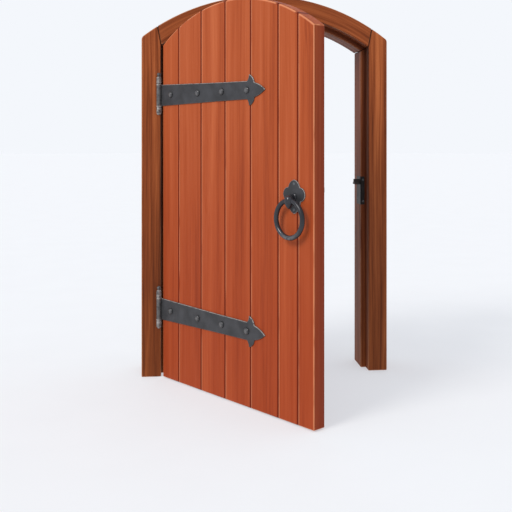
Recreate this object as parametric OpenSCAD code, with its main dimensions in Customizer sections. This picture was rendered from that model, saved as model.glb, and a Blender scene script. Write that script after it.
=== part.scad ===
// Arched boarded door in its rebated frame, standing ajar on two strap hinges.
// Origin: middle of the doorway at floor level, on the frame's front face.
// +X runs to the latch side, +Y into the doorway, +Z up. The leaf opens towards -Y.

/* [Frame] */
// Width over both jambs
frame_w = 1284; // [1050:1:1560]
// Height from the floor to the crown of the arched head
frame_h = 1964; // [1640:1:2400]
// Depth of the frame from its front face to its back face
frame_d = 222; // [180:1:300]
// Width of a jamb's front face
jamb_face = 100; // [85:1:140]
// Rise of the rebate's arch over its springing
arch_rise = 170; // [125:1:230]
// Thickness of the arched head along the arch's radius
head_t = 90; // [72:1:120]
// Width of the stop that the leaf closes against
stop_w = 26; // [18:1:40]
// Lean of the joint between jamb and head, from vertical
joint_lean = 11; // [6:0.5:16]
// Gap between the closed leaf's back and the stop
stop_gap = 2; // [1:0.5:4]

/* [Leaf] */
// How far the leaf stands open
open_deg = 54; // [0:1:90]
// Thickness of the boards
board_t = 66; // [50:1:80]
// Gap around the leaf's sides and arched top
leaf_gap = 4; // [3:0.5:8]
// Gap under the leaf
floor_gap = 6; // [4:1:15]
// Width of the board at the hinges
hinge_board_w = 135; // [100:1:170]
// Width of the board before the last
lock_board_w = 122; // [95:1:150]
// Width of the board at the free edge
edge_board_w = 97; // [75:1:120]
// Width of the slope on each board's front arris
vee = 5; // [2:0.5:8]
// Length of a board's tongue
tongue_len = 8; // [5:0.5:12]
// Thickness of a board's tongue
tongue_t = 16; // [10:1:22]
// Play of the tongue in its groove
tongue_fit = 0.3; // [0.1:0.1:0.6]

/* [Ledges] */
// Thickness of ledges and braces
ledge_t = 35; // [28:1:45]
// Height of the top and bottom ledges
ledge_h = 130; // [120:1:160]
// Height of the middle ledge, behind the latch
lock_ledge_h = 150; // [140:1:180]
// Distance from the leaf's edges to the ends of the ledges
ledge_inset = 44; // [40:1:70]
// Width of a brace along the ledges
brace_w = 132; // [100:1:160]
// Radius of the ledge screws
screw_r = 3; // [2.5:0.5:4]

/* [Strap hinges] */
// Height of the upper strap's centre line
upper_strap_z = 1443; // [1330:1:1480]
// Height of the lower strap's centre line
lower_strap_z = 352; // [300:1:420]
// Length of a strap from the leaf's edge to its point
strap_len = 778; // [700:1:860]
// Height of a strap at the leaf's edge
strap_root_h = 108; // [90:1:120]
// Height of a strap where its point begins
strap_neck_h = 78; // [64:1:86]
// Thickness of a strap
strap_t = 6; // [4:0.5:8]
// Length of the strap's pointed end, measured back from its point
point_len = 132; // [110:1:150]
// Height over the two horns of the pointed end
horn_span = 140; // [110:1:160]
// Outer radius of the hinge eyes
eye_r = 12; // [10:0.5:15]
// Radius of the hinge pins
pin_r = 6; // [5:0.5:7]
// Height of the two fixed eyes of each hinge
eye_h = 42; // [32:1:60]
// Distance from the rebate's edge to the hinge's axis
hinge_inset = 12; // [8:0.5:16]
// Gap between the turning eye and the jamb's face
face_gap = 2; // [1.5:0.5:3]
// Running clearance of the pins
run_fit = 0.05; // [0.02:0.01:0.1]
// Radius of the strap bolts
bolt_r = 5; // [4:0.5:6]
// Radius of the bolts' domed heads
bolt_head_r = 16; // [12:0.5:18]
// Height of the bolts' domed heads
bolt_head_h = 9; // [5:0.5:11]

/* [Ring latch] */
// Height of the ring's spindle
lock_z = 976; // [900:1:1000]
// Distance from the leaf's free edge to the spindle
lock_inset = 115; // [105:1:135]
// Radius of the spindle
spindle_r = 8; // [6:0.5:9]
// Radius of the round bulb that holds the ring
bulb_r = 21; // [17:0.5:23]
// Distance from the leaf's face to the middle of the bulb
bulb_reach = 33; // [30:1:40]
// Distance from the spindle's axis down to the ring's hole
bulb_drop = 15; // [12:1:20]
// Outer diameter of the ring
ring_od = 180; // [150:1:200]
// Radius of the ring's bar
ring_bar_r = 11; // [8:0.5:12]
// Play of the ring in its hole
ring_play = 2.2; // [1.5:0.1:2.4]
// Thickness of the plate behind the ring
backplate_t = 5; // [3:0.5:7]
// Length of the lifting arm behind the leaf
lifter_len = 30; // [26:1:34]
// Angle of the lifting arm above level at rest
lifter_rest = 14; // [10:1:18]
// Height of the latch bar
bar_h = 28; // [22:1:34]
// Thickness of the latch bar
bar_t = 6; // [5:0.5:8]
// Distance from the leaf's free edge to the latch bar's end
bar_inset = 44; // [40:1:48]
// Distance between the latch bar's pivot and the spindle
bar_pivot_reach = 223; // [180:1:260]
// Room over the latch bar in its guide
bar_lift = 29; // [27:1:34]
// Height of the keeper's plate
keeper_h = 150; // [120:1:170]
// Distance that the keeper's nose stands out from the stop
keeper_nose = 32; // [28:1:34]

/* [Wall fixings] */
// Radius of the wall fixing holes
fixing_r = 5; // [4:0.5:6]
// Height of the lowest fixing hole
fixing_z = 240; // [180:1:300]
// Distance between fixing holes
fixing_step = 620; // [500:1:650]
// Distance from the frame's back face to the fixing holes
fixing_back = 32; // [20:1:40]
// Distance that the latch jamb's holes sit below the hinge jamb's, clear of the keeper
latch_fixing_drop = 40; // [30:1:60]

/* [Hidden] */
$fn = 64;
arc_fn = 400;

// Fits inside one body, and the overshoot of cutting shapes.
drive_fit = 0.1;
free_fit = 0.3;
over = 5;
// How near a board's edge a hole has to be to cut it.
hole_reach = 10;

// Frame outline.
half_w = frame_w / 2;
rebate_half = half_w - jamb_face;
stop_half = rebate_half - stop_w;
rebate_d = board_t + stop_gap;
spring_z = frame_h - head_t - arch_rise;
arch_r = (rebate_half ^ 2 + arch_rise ^ 2) / (2 * arch_rise);
arch_z = spring_z + arch_rise - arch_r;
head_r = arch_r + head_t;
stop_r = arch_r - stop_w;
stop_spring_z = arch_z + sqrt(stop_r ^ 2 - stop_half ^ 2);

// Leaf outline and its boards' edges, with the leaf closed.
leaf_half = rebate_half - leaf_gap;
leaf_r = arch_r - leaf_gap;
full_boards = 4;
full_board_w = (2 * leaf_half - hinge_board_w - lock_board_w - edge_board_w) / full_boards;
board_x = [
    -leaf_half,
    for (i = [0 : full_boards]) -leaf_half + hinge_board_w + i * full_board_w,
    leaf_half - edge_board_w,
    leaf_half
];
last_tongue = full_boards + 1;
leaf_back = board_t;
ledge_back = board_t + ledge_t;

// Hinge axis.
hinge_x = -rebate_half - hinge_inset;
hinge_y = -eye_r - face_gap;
knuckle_gap = 0.4;
knuckle_h = strap_root_h - 4;
shank_r = 6;
shank_len = 95;
shank_shift = 5;
bead_h = 7;
bead_out = face_gap - 0.6;
groove_h = 2.5;
finial_r = 9.5;
finial_neck_h = 3;
pin_button_h = 6;
eye_chamfer = 3;
groove_in = 0.6;
eye_lap = 2;

// Horns of a strap's end: where their tips stand, how deep the hollow on the hinge side dips
// under the strap's edge, and the round of their far side.
horn_back = 28;
horn_tip_x = 3;
horn_sink = 6;
horn_lean = 7.5;
tip_share = 0.47;
horn_eye_z = horn_span / 2 - 43;

// Strap pattern: bolts are measured from the leaf's edge.
bolt_at = [76, 296, 479, strap_len - 120];
strap_bolt_x = [for (d = bolt_at) -leaf_half + d];
washer_t = 3;
washer_r = 13;
nut_t = 8;
nut_r = 9.5;
bolt_tail = 4;

// Ring latch.
lock_x = leaf_half - lock_inset;
hole_z = lock_z - bulb_drop;
ring_r = ring_od / 2 - ring_bar_r;
ring_hole_r = ring_bar_r + ring_play;
shaft_room = 1;
neck_r = 12;
collar_r = 16;
collar_t = 3;
plate_r = 44;
lobe_r = 30;
lobe_x = 36;
lobe_z = 10;
plate_tip = 73;
crown_half = 36;
crown_foot = 31;
drop_half = 38;
drop_foot = 20;
backplate_pin_z = 56;
backplate_pin_len = 45;
rear_plate_w = 44;
rear_plate_t = 3;
rear_screw_in = 12;
rear_screw_len = 34;
square_w = 10;
tail_r = 4.5;
bar_gap = 4;
bar_front = ledge_back + bar_gap;
bar_back = bar_front + bar_t;
lifter_nose_r = 6;
lifter_hub_r = 11;
lifter_arm_h = 9;
bar_bottom = lock_z + lifter_len * sin(lifter_rest) + lifter_nose_r + free_fit;
bar_top = bar_bottom + bar_h;
bar_mid = bar_bottom + bar_h / 2;
bar_pivot_x = lock_x - bar_pivot_reach;
bar_end = leaf_half - bar_inset;
bar_boss_r = 18;
pivot_r = 6;
guide_bar = 8;
guide_reach = 25;
guide_x = lock_x + guide_reach;
guide_seat = 0.4;
stud_depth = 30;

// Ledge heights and ends.
lock_ledge_drop = 12;
lock_ledge_z = bar_mid - lock_ledge_drop;
nose_room = 10;
middle_ledge_end = stop_half - keeper_nose - nose_room;
end_screw_in = 20;
screw_zigzag = 36;
lock_screw_zigzag = 52;
screw_bite = 40;

// Head joint.
joint_mid = [-rebate_half - sin(joint_lean) * head_t / 2, spring_z + cos(joint_lean) * head_t / 2];
tenon_len = 104;
tenon_h = 36;
tenon_t = 60;
peg_r = 6;
peg_past = 12;

// Keeper.
keeper_t = 4;
keeper_w = stop_w - 4;
keeper_depth = ledge_back - rebate_d + 62;
keeper_top = bar_top + 2;
nose_rise = 15;
nose_drop = 12;
nose_crest = 7;
nose_past = 4;
nose_lap = 3;
keeper_face_screw_in = 18;
keeper_leg_screw_in = 30;
keeper_leg_screw_back = 14;
keeper_screw_len = 30;

// Extrudes a drawing of X and Z from y0 to y1.
module slab(y0, y1) {
    translate([0, y1, 0]) rotate([90, 0, 0]) linear_extrude(y1 - y0) children();
}

// A rod along Y from y0 to y1.
module rod_y(x, z, r, y0, y1) {
    translate([x, y1, z]) rotate([90, 0, 0]) cylinder(h = y1 - y0, r = r);
}

// Swings what is drawn closed about the hinge axis.
module opened() {
    translate([hinge_x, hinge_y, 0]) rotate([0, 0, -open_deg]) translate([-hinge_x, -hinge_y, 0]) children();
}

// What lies inside a round arch of radius r about the arch's centre, and all that is below that centre.
module under_arch(r, y0, y1) {
    union() {
        rod_y(0, arch_z, r, y0, y1, $fn = arc_fn);
        translate([-frame_w, y0, -over]) cube([2 * frame_w, y1 - y0, arch_z + over]);
    }
}

// The joint between jamb and head, seen from the front: it leans in to the springing,
// then turns along a mitre through the stop.
joint_lean_dir = [sin(joint_lean), -cos(joint_lean)];
joint_spring = [-rebate_half, spring_z];
joint_out = joint_spring - 2 * head_t * joint_lean_dir;
joint_turn = joint_spring + 2 * joint_lean_dir;
joint_in = joint_turn + 2 * ([-stop_half, stop_spring_z] - joint_turn);

// The side of that joint where the hinge jamb stands.
module jamb_room() {
    slab(-2 * over, frame_d + 2 * over) polygon([
        [-half_w - over, -2 * over],
        [joint_in.x, -2 * over],
        joint_in,
        joint_turn,
        joint_out,
        [-half_w - over, joint_out.y]
    ]);
}

// The hinge jamb's rebated post, cut round at its outer corner and sloping at the joint.
module jamb_post() {
    intersection() {
        under_arch(head_r, -over, frame_d + over);
        jamb_room();
        union() {
            translate([-half_w, 0, 0]) cube([jamb_face, frame_d, frame_h]);
            translate([-half_w, rebate_d, 0]) cube([jamb_face + stop_w, frame_d - rebate_d, frame_h]);
        }
    }
}

// Part of the arched head with inner radius r, from y0 to y1.
module head_ring(r, y0, y1) {
    difference() {
        rod_y(0, arch_z, head_r, y0, y1, $fn = arc_fn);
        rod_y(0, arch_z, r, y0 - over, y1 + over, $fn = arc_fn);
    }
}

// Loose tenon across the hinge side's head joint.
module tenon(fit) {
    translate([joint_mid.x, frame_d / 2, joint_mid.y]) rotate([0, -joint_lean, 0])
        cube([tenon_len, tenon_t, tenon_h] + 2 * fit * [1, 1, 1], center = true);
}

// Pegs that lock the tenon, driven from the back.
module pegs(fit) {
    peg_step = tenon_len / 4;
    for (s = [-1, 1])
        rod_y(joint_mid.x + s * peg_step * cos(joint_lean), joint_mid.y + s * peg_step * sin(joint_lean),
            peg_r + fit, frame_d / 2 - tenon_t / 2 - peg_past - fit, frame_d + (fit > 0 ? over : 0));
}

module fixing_holes(drop) {
    for (i = [0 : 2])
        translate([-half_w - over, frame_d - fixing_back, fixing_z - drop + i * fixing_step])
            rotate([0, 90, 0]) cylinder(h = jamb_face + stop_w + 2 * over, r = fixing_r);
}

module eye_shank(z, fit) {
    rod_y(hinge_x - shank_shift, z, shank_r + fit, hinge_y, shank_len + fit);
}

// Heights of the middles of the two fixed eyes beside a strap at height z.
function eye_mid(z) = [for (s = [-1, 1]) z + s * (knuckle_h / 2 + knuckle_gap + eye_h / 2)];

module hinge_jamb() {
    color("#85462A") difference() {
        jamb_post();
        tenon(drive_fit);
        pegs(drive_fit);
        fixing_holes(0);
        for (z = concat(eye_mid(upper_strap_z), eye_mid(lower_strap_z))) eye_shank(z, drive_fit);
    }
}

module latch_jamb() {
    color("#85462A") difference() {
        mirror([1, 0, 0]) difference() {
            jamb_post();
            tenon(drive_fit);
            pegs(drive_fit);
            fixing_holes(latch_fixing_drop);
        }
        keeper_body(drive_fit);
        keeper_screw_set(drive_fit);
    }
}

module arched_head() {
    color("#7A4026") difference() {
        intersection() {
            union() {
                head_ring(arch_r, 0, rebate_d);
                head_ring(stop_r, rebate_d, frame_d);
            }
            translate([-half_w, -over, joint_in.y]) cube([frame_w, frame_d + 2 * over, frame_h]);
        }
        for (side = [0, 1]) mirror([side, 0, 0]) {
            jamb_room();
            tenon(drive_fit);
            pegs(drive_fit);
        }
    }
}

module head_tenons() {
    color("#A9744F") for (side = [0, 1]) mirror([side, 0, 0]) difference() {
        tenon(0);
        pegs(drive_fit);
    }
}

module tenon_pegs() {
    color("#8F5E3C") for (side = [0, 1]) mirror([side, 0, 0]) pegs(0);
}

// A fixed eye from height z up, with its bead at the end next to the strap's eye.
module fixed_eye(z, bead_low) {
    flip = bead_low ? 0 : 1;
    color("#45484C") difference() {
        union() {
            translate([hinge_x, hinge_y, z + flip * eye_h]) mirror([0, 0, flip]) rotate_extrude() polygon([
                [0, 0],
                [eye_r - groove_in, 0],
                [eye_r + bead_out, bead_h * 0.3],
                [eye_r + bead_out, bead_h * 0.7],
                [eye_r - groove_in, bead_h],
                [eye_r - groove_in, bead_h + groove_h],
                [eye_r, bead_h + groove_h + 1],
                [eye_r, eye_h - eye_chamfer - 1],
                [eye_r - eye_chamfer, eye_h],
                [0, eye_h]
            ]);
            eye_shank(z + eye_h / 2, 0);
        }
        translate([hinge_x, hinge_y, z - over]) cylinder(h = eye_h + 2 * over, r = pin_r + run_fit);
    }
}

module top_eye(z) { fixed_eye(z + knuckle_h / 2 + knuckle_gap, true); }
module bottom_eye(z) { fixed_eye(z - knuckle_h / 2 - knuckle_gap - eye_h, false); }

module hinge_pin(z) {
    top = z + knuckle_h / 2 + knuckle_gap + eye_h;
    low = z - knuckle_h / 2 - knuckle_gap - eye_h;
    color("#505358") translate([hinge_x, hinge_y, 0]) {
        translate([0, 0, low - 1]) cylinder(h = top - low + finial_neck_h + 3, r = pin_r);
        translate([0, 0, top]) cylinder(h = finial_neck_h, r1 = eye_r - eye_chamfer, r2 = pin_r);
        translate([0, 0, top + finial_neck_h + finial_r]) sphere(r = finial_r);
        translate([0, 0, low - pin_button_h]) cylinder(h = pin_button_h, r1 = pin_r, r2 = eye_r - eye_chamfer);
    }
}

// Keeper: a plate let into the stop's front face, a leg let into its inner face,
// and a nose with a sloping front that the bar rides over.
module keeper_body(fit) {
    low = keeper_top - keeper_h;
    nose_x = stop_half - keeper_nose;
    nose_wall = bar_front - 1;
    union() {
        translate([stop_half - fit, rebate_d - over * (fit > 0 ? 1 : 0), low - fit])
            cube([keeper_w + 2 * fit, keeper_t + fit + over * (fit > 0 ? 1 : 0), keeper_h + 2 * fit]);
        translate([stop_half - over * (fit > 0 ? 1 : 0), rebate_d, low - fit])
            cube([keeper_t + fit + over * (fit > 0 ? 1 : 0), keeper_depth + fit, keeper_h + 2 * fit]);
        if (fit == 0) {
            translate([nose_x, 0, 0]) rotate([90, 0, 90]) linear_extrude(keeper_nose + keeper_t / 2) polygon([
                [rebate_d + nose_lap, bar_bottom - nose_drop],
                [nose_wall - nose_crest, bar_bottom + nose_rise],
                [nose_wall, bar_bottom + nose_rise],
                [nose_wall, bar_bottom - guide_seat],
                [bar_back + nose_past, bar_bottom - guide_seat],
                [bar_back + nose_past, bar_bottom - nose_drop]
            ]);
        }
    }
}

// Places of the keeper's screws: two in the plate, two in the leg.
module keeper_screw_set(fit) {
    low = keeper_top - keeper_h;
    for (z = [low + keeper_face_screw_in, keeper_top - keeper_face_screw_in])
        screw_y(stop_half + (keeper_w + keeper_t) / 2, z, rebate_d, keeper_screw_len, fit, 1);
    for (z = [low + keeper_leg_screw_in, keeper_top - keeper_leg_screw_in])
        translate([stop_half, rebate_d + keeper_depth - keeper_leg_screw_back, z])
            rotate([0, 90, 0]) screw(keeper_screw_len + keeper_t, fit);
}

module latch_keeper() {
    color("#3E4144") difference() {
        keeper_body(0);
        keeper_screw_set(drive_fit);
    }
}

module keeper_screws() {
    color("#6A6D70") keeper_screw_set(0);
}

// Countersunk screw along +Z with its head's face at the origin.
module screw(length, fit) {
    head_r = 2 * screw_r;
    union() {
        translate([0, 0, fit > 0 ? -over : 0]) cylinder(h = length + fit + (fit > 0 ? over : 0), r = screw_r + fit);
        cylinder(h = screw_r, r1 = head_r + fit, r2 = screw_r + fit);
        if (fit > 0) translate([0, 0, -over]) cylinder(h = over, r = head_r + fit);
    }
}

// Screw along Y from y: dir 1 drives it towards +Y, -1 towards -Y.
module screw_y(x, z, y, length, fit, dir) {
    translate([x, y, z]) rotate([-90 * dir, 0, 0]) screw(length, fit);
}

// Ledge screws: one through each ledge into each board, and three along each brace.
function screw_x(i, end) = min((board_x[i] + board_x[i + 1]) / 2, end - end_screw_in);
ledge_end = leaf_half - ledge_inset;
ledge_screw_at = [
    for (i = [0 : 6]) [screw_x(i, ledge_end), upper_strap_z + screw_zigzag * (i % 2 == 0 ? -1 : 1)],
    for (i = [0 : 6]) [screw_x(i, middle_ledge_end), lock_ledge_z + lock_screw_zigzag * (i % 2 == 0 ? -1 : 1)],
    for (i = [0 : 6]) [screw_x(i, ledge_end), lower_strap_z + screw_zigzag * (i % 2 == 0 ? -1 : 1)]
];
brace_foot_in = 64;
brace_head_in = 130;
brace_low_x = -leaf_half + ledge_inset + brace_foot_in;
brace_high_x = ledge_end - brace_head_in;
lower_brace_z = [lower_strap_z + ledge_h / 2, lock_ledge_z - lock_ledge_h / 2];
upper_brace_z = [lock_ledge_z + lock_ledge_h / 2, upper_strap_z - ledge_h / 2];
brace_screw_at = [
    for (zz = [lower_brace_z, upper_brace_z], t = [0.14, 0.5, 0.86])
        [brace_low_x + t * (brace_high_x - brace_low_x), zz[0] + t * (zz[1] - zz[0])]
];

module ledge_screw_set(fit, x0, x1) {
    for (p = concat(ledge_screw_at, brace_screw_at))
        if (p.x > x0 - hole_reach && p.x < x1 + hole_reach)
            screw_y(p.x, p.y, ledge_back, ledge_t + screw_bite, fit, -1);
}

module strap_bolt_holes(z, x0, x1) {
    for (x = strap_bolt_x)
        if (x > x0 - hole_reach && x < x1 + hole_reach) rod_y(x, z, bolt_r + free_fit, -strap_t - over, ledge_back + over);
}

// One board: tongue on its latch side, groove on its hinge side, sloped front arrises.
module plank(i) {
    x0 = board_x[i];
    x1 = board_x[i + 1];
    has_groove = i > 0 && i <= last_tongue;
    has_tongue = i < last_tongue;
    left_vee = i == 0 ? 0 : vee;
    right_vee = i == len(board_x) - 2 ? 0 : vee;
    mid = board_t / 2;
    color(i % 2 == 0 ? "#B85C3C" : "#AF5535") difference() {
        translate([0, 0, floor_gap]) linear_extrude(frame_h) polygon(concat(
            [[x0, left_vee], [x0 + left_vee, 0], [x1 - right_vee, 0], [x1, right_vee]],
            has_tongue ? [
                [x1, mid - tongue_t / 2],
                [x1 + tongue_len, mid - tongue_t / 2],
                [x1 + tongue_len, mid + tongue_t / 2],
                [x1, mid + tongue_t / 2]
            ] : [],
            [[x1, board_t], [x0, board_t]],
            has_groove ? [
                [x0, mid + tongue_t / 2 + tongue_fit],
                [x0 + tongue_len + tongue_fit, mid + tongue_t / 2 + tongue_fit],
                [x0 + tongue_len + tongue_fit, mid - tongue_t / 2 - tongue_fit],
                [x0, mid - tongue_t / 2 - tongue_fit]
            ] : []
        ));
        difference() {
            translate([x0 - 2 * over, -over, arch_z]) cube([x1 - x0 + 6 * over, board_t + 2 * over, frame_h]);
            rod_y(0, arch_z, leaf_r, -2 * over, board_t + 2 * over, $fn = arc_fn);
        }
        for (z = [upper_strap_z, lower_strap_z]) strap_bolt_holes(z, x0, x1);
        ledge_screw_set(drive_fit, x0, x1);
        if (lock_x > x0 && lock_x < x1) {
            rod_y(lock_x, lock_z, spindle_r + shaft_room, -over, board_t + over);
            backplate_pin_set(drive_fit);
        }
    }
}

module ledge(z, h, end) {
    start = -leaf_half + ledge_inset;
    color("#9C4F33") difference() {
        translate([start, leaf_back, z - h / 2]) cube([end - start, ledge_t, h]);
        ledge_screw_set(drive_fit, start, end);
        children();
    }
}

module top_ledge() { ledge(upper_strap_z, ledge_h, ledge_end) strap_bolt_holes(upper_strap_z, -leaf_half, leaf_half); }
module bottom_ledge() { ledge(lower_strap_z, ledge_h, ledge_end) strap_bolt_holes(lower_strap_z, -leaf_half, leaf_half); }

module middle_ledge() {
    ledge(lock_ledge_z, lock_ledge_h, middle_ledge_end) {
        rod_y(lock_x, lock_z, spindle_r + shaft_room, leaf_back - over, ledge_back + over);
        rear_plate_screw_set(drive_fit);
        guide_legs(drive_fit);
        rod_y(bar_pivot_x, bar_mid, pivot_r + drive_fit, ledge_back - stud_depth - drive_fit, ledge_back + over);
    }
}

// Brace with level ends that butt against two ledges.
module brace(zz) {
    color("#93492F") difference() {
        slab(leaf_back, ledge_back) polygon([
            [brace_low_x - brace_w / 2, zz[0]],
            [brace_low_x + brace_w / 2, zz[0]],
            [brace_high_x + brace_w / 2, zz[1]],
            [brace_high_x - brace_w / 2, zz[1]]
        ]);
        ledge_screw_set(drive_fit, brace_low_x, brace_high_x);
    }
}

module ledge_screws() {
    color("#6A6D70") ledge_screw_set(0, -leaf_half, leaf_half);
}

// One horn of a strap's end, with its tip at height h: it sweeps up hollow out of the strap's
// edge at height base on the hinge side and falls round on the other side.
module horn(base, h) {
    sweep_r = h - base + horn_sink;
    fall_r = norm([horn_lean, h - horn_eye_z]);
    difference() {
        translate([-horn_tip_x - horn_lean, horn_eye_z]) circle(r = fall_r);
        translate([-horn_tip_x - sweep_r, h]) circle(r = sweep_r);
    }
}

// Outline of a strap from the leaf's edge, with two horns and a leaf-shaped point.
module strap_outline() {
    horn_x = strap_len - point_len + horn_back;
    tip_half = strap_neck_h * tip_share;
    tip_back = strap_len - horn_x;
    tip_r = (tip_back ^ 2 + tip_half ^ 2) / (2 * tip_half);
    union() {
        polygon([[0, -strap_root_h / 2], [horn_x, -strap_neck_h / 2], [horn_x, strap_neck_h / 2], [0, strap_root_h / 2]]);
        for (side = [0, 1]) mirror([0, side]) translate([horn_x, 0]) horn(strap_neck_h / 2, horn_span / 2);
        intersection() {
            translate([horn_x, tip_half - tip_r]) circle(r = tip_r, $fn = 256);
            translate([horn_x, tip_r - tip_half]) circle(r = tip_r, $fn = 256);
            translate([horn_x - over, -tip_half]) square([strap_len, 2 * tip_half]);
        }
    }
}

module strap(z) {
    color("#494D51") difference() {
        union() {
            translate([-leaf_half, 0, z]) slab(-strap_t, 0) strap_outline();
            translate([hinge_x, -strap_t, z - knuckle_h / 2])
                cube([-leaf_half - hinge_x + eye_lap, strap_t - face_gap, knuckle_h]);
            translate([hinge_x, hinge_y, z - knuckle_h / 2]) cylinder(h = knuckle_h, r = eye_r);
        }
        translate([hinge_x, hinge_y, z - strap_root_h]) cylinder(h = 2 * strap_root_h, r = pin_r + run_fit);
        strap_bolt_holes(z, -leaf_half, leaf_half);
    }
}

module strap_bolt(x, z) {
    dome_r = (bolt_head_r ^ 2 + bolt_head_h ^ 2) / (2 * bolt_head_h);
    union() {
        rod_y(x, z, bolt_r, -strap_t - 1, ledge_back + washer_t + nut_t + bolt_tail);
        intersection() {
            translate([x, -strap_t - bolt_head_h + dome_r, z]) sphere(r = dome_r);
            rod_y(x, z, bolt_head_r + over, -strap_t - bolt_head_h - over, -strap_t);
        }
    }
}

module strap_bolts() {
    color("#55585C") for (z = [upper_strap_z, lower_strap_z], x = strap_bolt_x) strap_bolt(x, z);
}

module strap_washers() {
    color("#5D6064") for (z = [upper_strap_z, lower_strap_z], x = strap_bolt_x) difference() {
        rod_y(x, z, washer_r, ledge_back, ledge_back + washer_t);
        rod_y(x, z, bolt_r + free_fit, ledge_back - over, ledge_back + washer_t + over);
    }
}

module strap_nuts() {
    start = ledge_back + washer_t;
    color("#55585C") for (z = [upper_strap_z, lower_strap_z], x = strap_bolt_x) difference() {
        translate([x, start + nut_t, z]) rotate([90, 0, 0]) cylinder(h = nut_t, r = nut_r, $fn = 6);
        rod_y(x, z, bolt_r + run_fit, start - over, start + nut_t + over);
    }
}

// A pointed leaf shape standing on its base at z = 0, with height h and half width w.
module pointed(w, h) {
    r = (h ^ 2 + w ^ 2) / (2 * w);
    intersection() {
        translate([w - r, 0]) circle(r = r, $fn = 128);
        translate([r - w, 0]) circle(r = r, $fn = 128);
        translate([-w, 0]) square([2 * w, h]);
    }
}

module ring_backplate() {
    color("#45484C") difference() {
        translate([lock_x, 0, lock_z]) slab(-backplate_t, 0) union() {
            circle(r = plate_r);
            for (s = [-1, 1]) translate([s * lobe_x, lobe_z]) circle(r = lobe_r);
            translate([0, crown_foot]) pointed(crown_half, plate_tip - crown_foot);
            mirror([0, 1]) translate([0, drop_foot]) pointed(drop_half, plate_tip - drop_foot);
        }
        rod_y(lock_x, lock_z, spindle_r + run_fit, -backplate_t - over, over);
        backplate_pin_set(drive_fit);
    }
}

module backplate_pin_set(fit) {
    for (z = [lock_z - backplate_pin_z, lock_z + backplate_pin_z])
        screw_y(lock_x, z, -backplate_t, backplate_pin_len, fit, 1);
}

module backplate_pins() {
    color("#5D6064") backplate_pin_set(0);
}

module rear_plate() {
    start = ledge_back;
    color("#505358") difference() {
        translate([lock_x - rear_plate_w / 2, start, lock_z - rear_plate_w])
            cube([rear_plate_w, rear_plate_t, rear_plate_w * 1.5]);
        rod_y(lock_x, lock_z, spindle_r + run_fit, start - over, start + over);
        rear_plate_screw_set(drive_fit);
    }
}

module rear_plate_screw_set(fit) {
    for (s = [-1, 1])
        screw_y(lock_x + s * rear_screw_in, lock_z - rear_plate_w + rear_screw_in,
            ledge_back + rear_plate_t, rear_screw_len, fit, -1);
}

module rear_plate_screws() {
    color("#6A6D70") rear_plate_screw_set(0);
}

// The two legs of the guide staple, where they stand in the ledge.
guide_leg_z = [bar_bottom - guide_seat - guide_bar, bar_top + bar_lift];
module guide_legs(fit) {
    for (z = guide_leg_z)
        translate([guide_x - fit, ledge_back - stud_depth - fit, z - fit])
            cube([guide_bar + 2 * fit, stud_depth + fit + (fit > 0 ? over : bar_back - ledge_back + 2), guide_bar + 2 * fit]);
}

module latch_guide() {
    color("#505358") union() {
        guide_legs(0);
        translate([guide_x, bar_back + 2, guide_leg_z[0]])
            cube([guide_bar, guide_bar - 2, guide_leg_z[1] + guide_bar - guide_leg_z[0]]);
    }
}

module latch_pivot() {
    color("#5D6064") union() {
        rod_y(bar_pivot_x, bar_mid, pivot_r, ledge_back - stud_depth, bar_back + 3);
        rod_y(bar_pivot_x, bar_mid, pivot_r + 5, ledge_back, bar_front - free_fit);
        rod_y(bar_pivot_x, bar_mid, pivot_r + 4, bar_back + free_fit, bar_back + 5);
    }
}

// Spindle: bulb with the ring's hole, neck, collar, round shaft, square and threaded tail.
module ring_spindle() {
    plate_face = -backplate_t - free_fit;
    shaft_end = ledge_back + rear_plate_t + 2 * free_fit;
    color("#4A4D52") difference() {
        union() {
            translate([lock_x, -bulb_reach, hole_z]) sphere(r = bulb_r);
            rod_y(lock_x, lock_z, neck_r, -bulb_reach, plate_face - collar_t);
            translate([lock_x, -bulb_reach, lock_z]) sphere(r = neck_r);
            rod_y(lock_x, lock_z, collar_r, plate_face - collar_t, plate_face);
            rod_y(lock_x, lock_z, spindle_r, plate_face - 1, shaft_end);
            translate([lock_x - square_w / 2, shaft_end - 1, lock_z - square_w / 2])
                cube([square_w, bar_back - shaft_end + 1, square_w]);
            rod_y(lock_x, lock_z, tail_r, bar_back - 1, bar_back + nut_t + 2);
        }
        translate([lock_x - bulb_r - over, -bulb_reach, hole_z]) rotate([0, 90, 0])
            cylinder(h = 2 * (bulb_r + over), r = ring_hole_r);
    }
}

module latch_lifter() {
    color("#3E4144") slab(bar_front, bar_back) difference() {
        translate([lock_x, lock_z]) union() {
            circle(r = lifter_hub_r);
            rotate(180 - lifter_rest) {
                translate([lifter_len, 0]) circle(r = lifter_nose_r);
                translate([lifter_hub_r - 3, -lifter_arm_h / 2]) square([lifter_len - lifter_hub_r + 3, lifter_arm_h]);
            }
        }
        translate([lock_x, lock_z]) square(square_w + 2 * drive_fit, center = true);
    }
}

module spindle_nut() {
    color("#55585C") difference() {
        translate([lock_x, bar_back + nut_t, lock_z]) rotate([90, 0, 0]) cylinder(h = nut_t, r = nut_r, $fn = 6);
        rod_y(lock_x, lock_z, tail_r + run_fit, bar_back - over, bar_back + nut_t + over);
    }
}

module ring_handle() {
    color("#3A3D42") translate([lock_x, -bulb_reach, hole_z - ring_r]) rotate([90, 0, 0])
        rotate_extrude() translate([ring_r, 0]) circle(r = ring_bar_r);
}

module latch_bar() {
    color("#4A4D52") difference() {
        union() {
            translate([bar_pivot_x, bar_front, bar_bottom]) cube([bar_end - bar_pivot_x, bar_t, bar_h]);
            rod_y(bar_pivot_x, bar_mid, bar_boss_r, bar_front, bar_back);
        }
        rod_y(bar_pivot_x, bar_mid, pivot_r + run_fit, bar_front - over, bar_back + over);
    }
}

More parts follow.
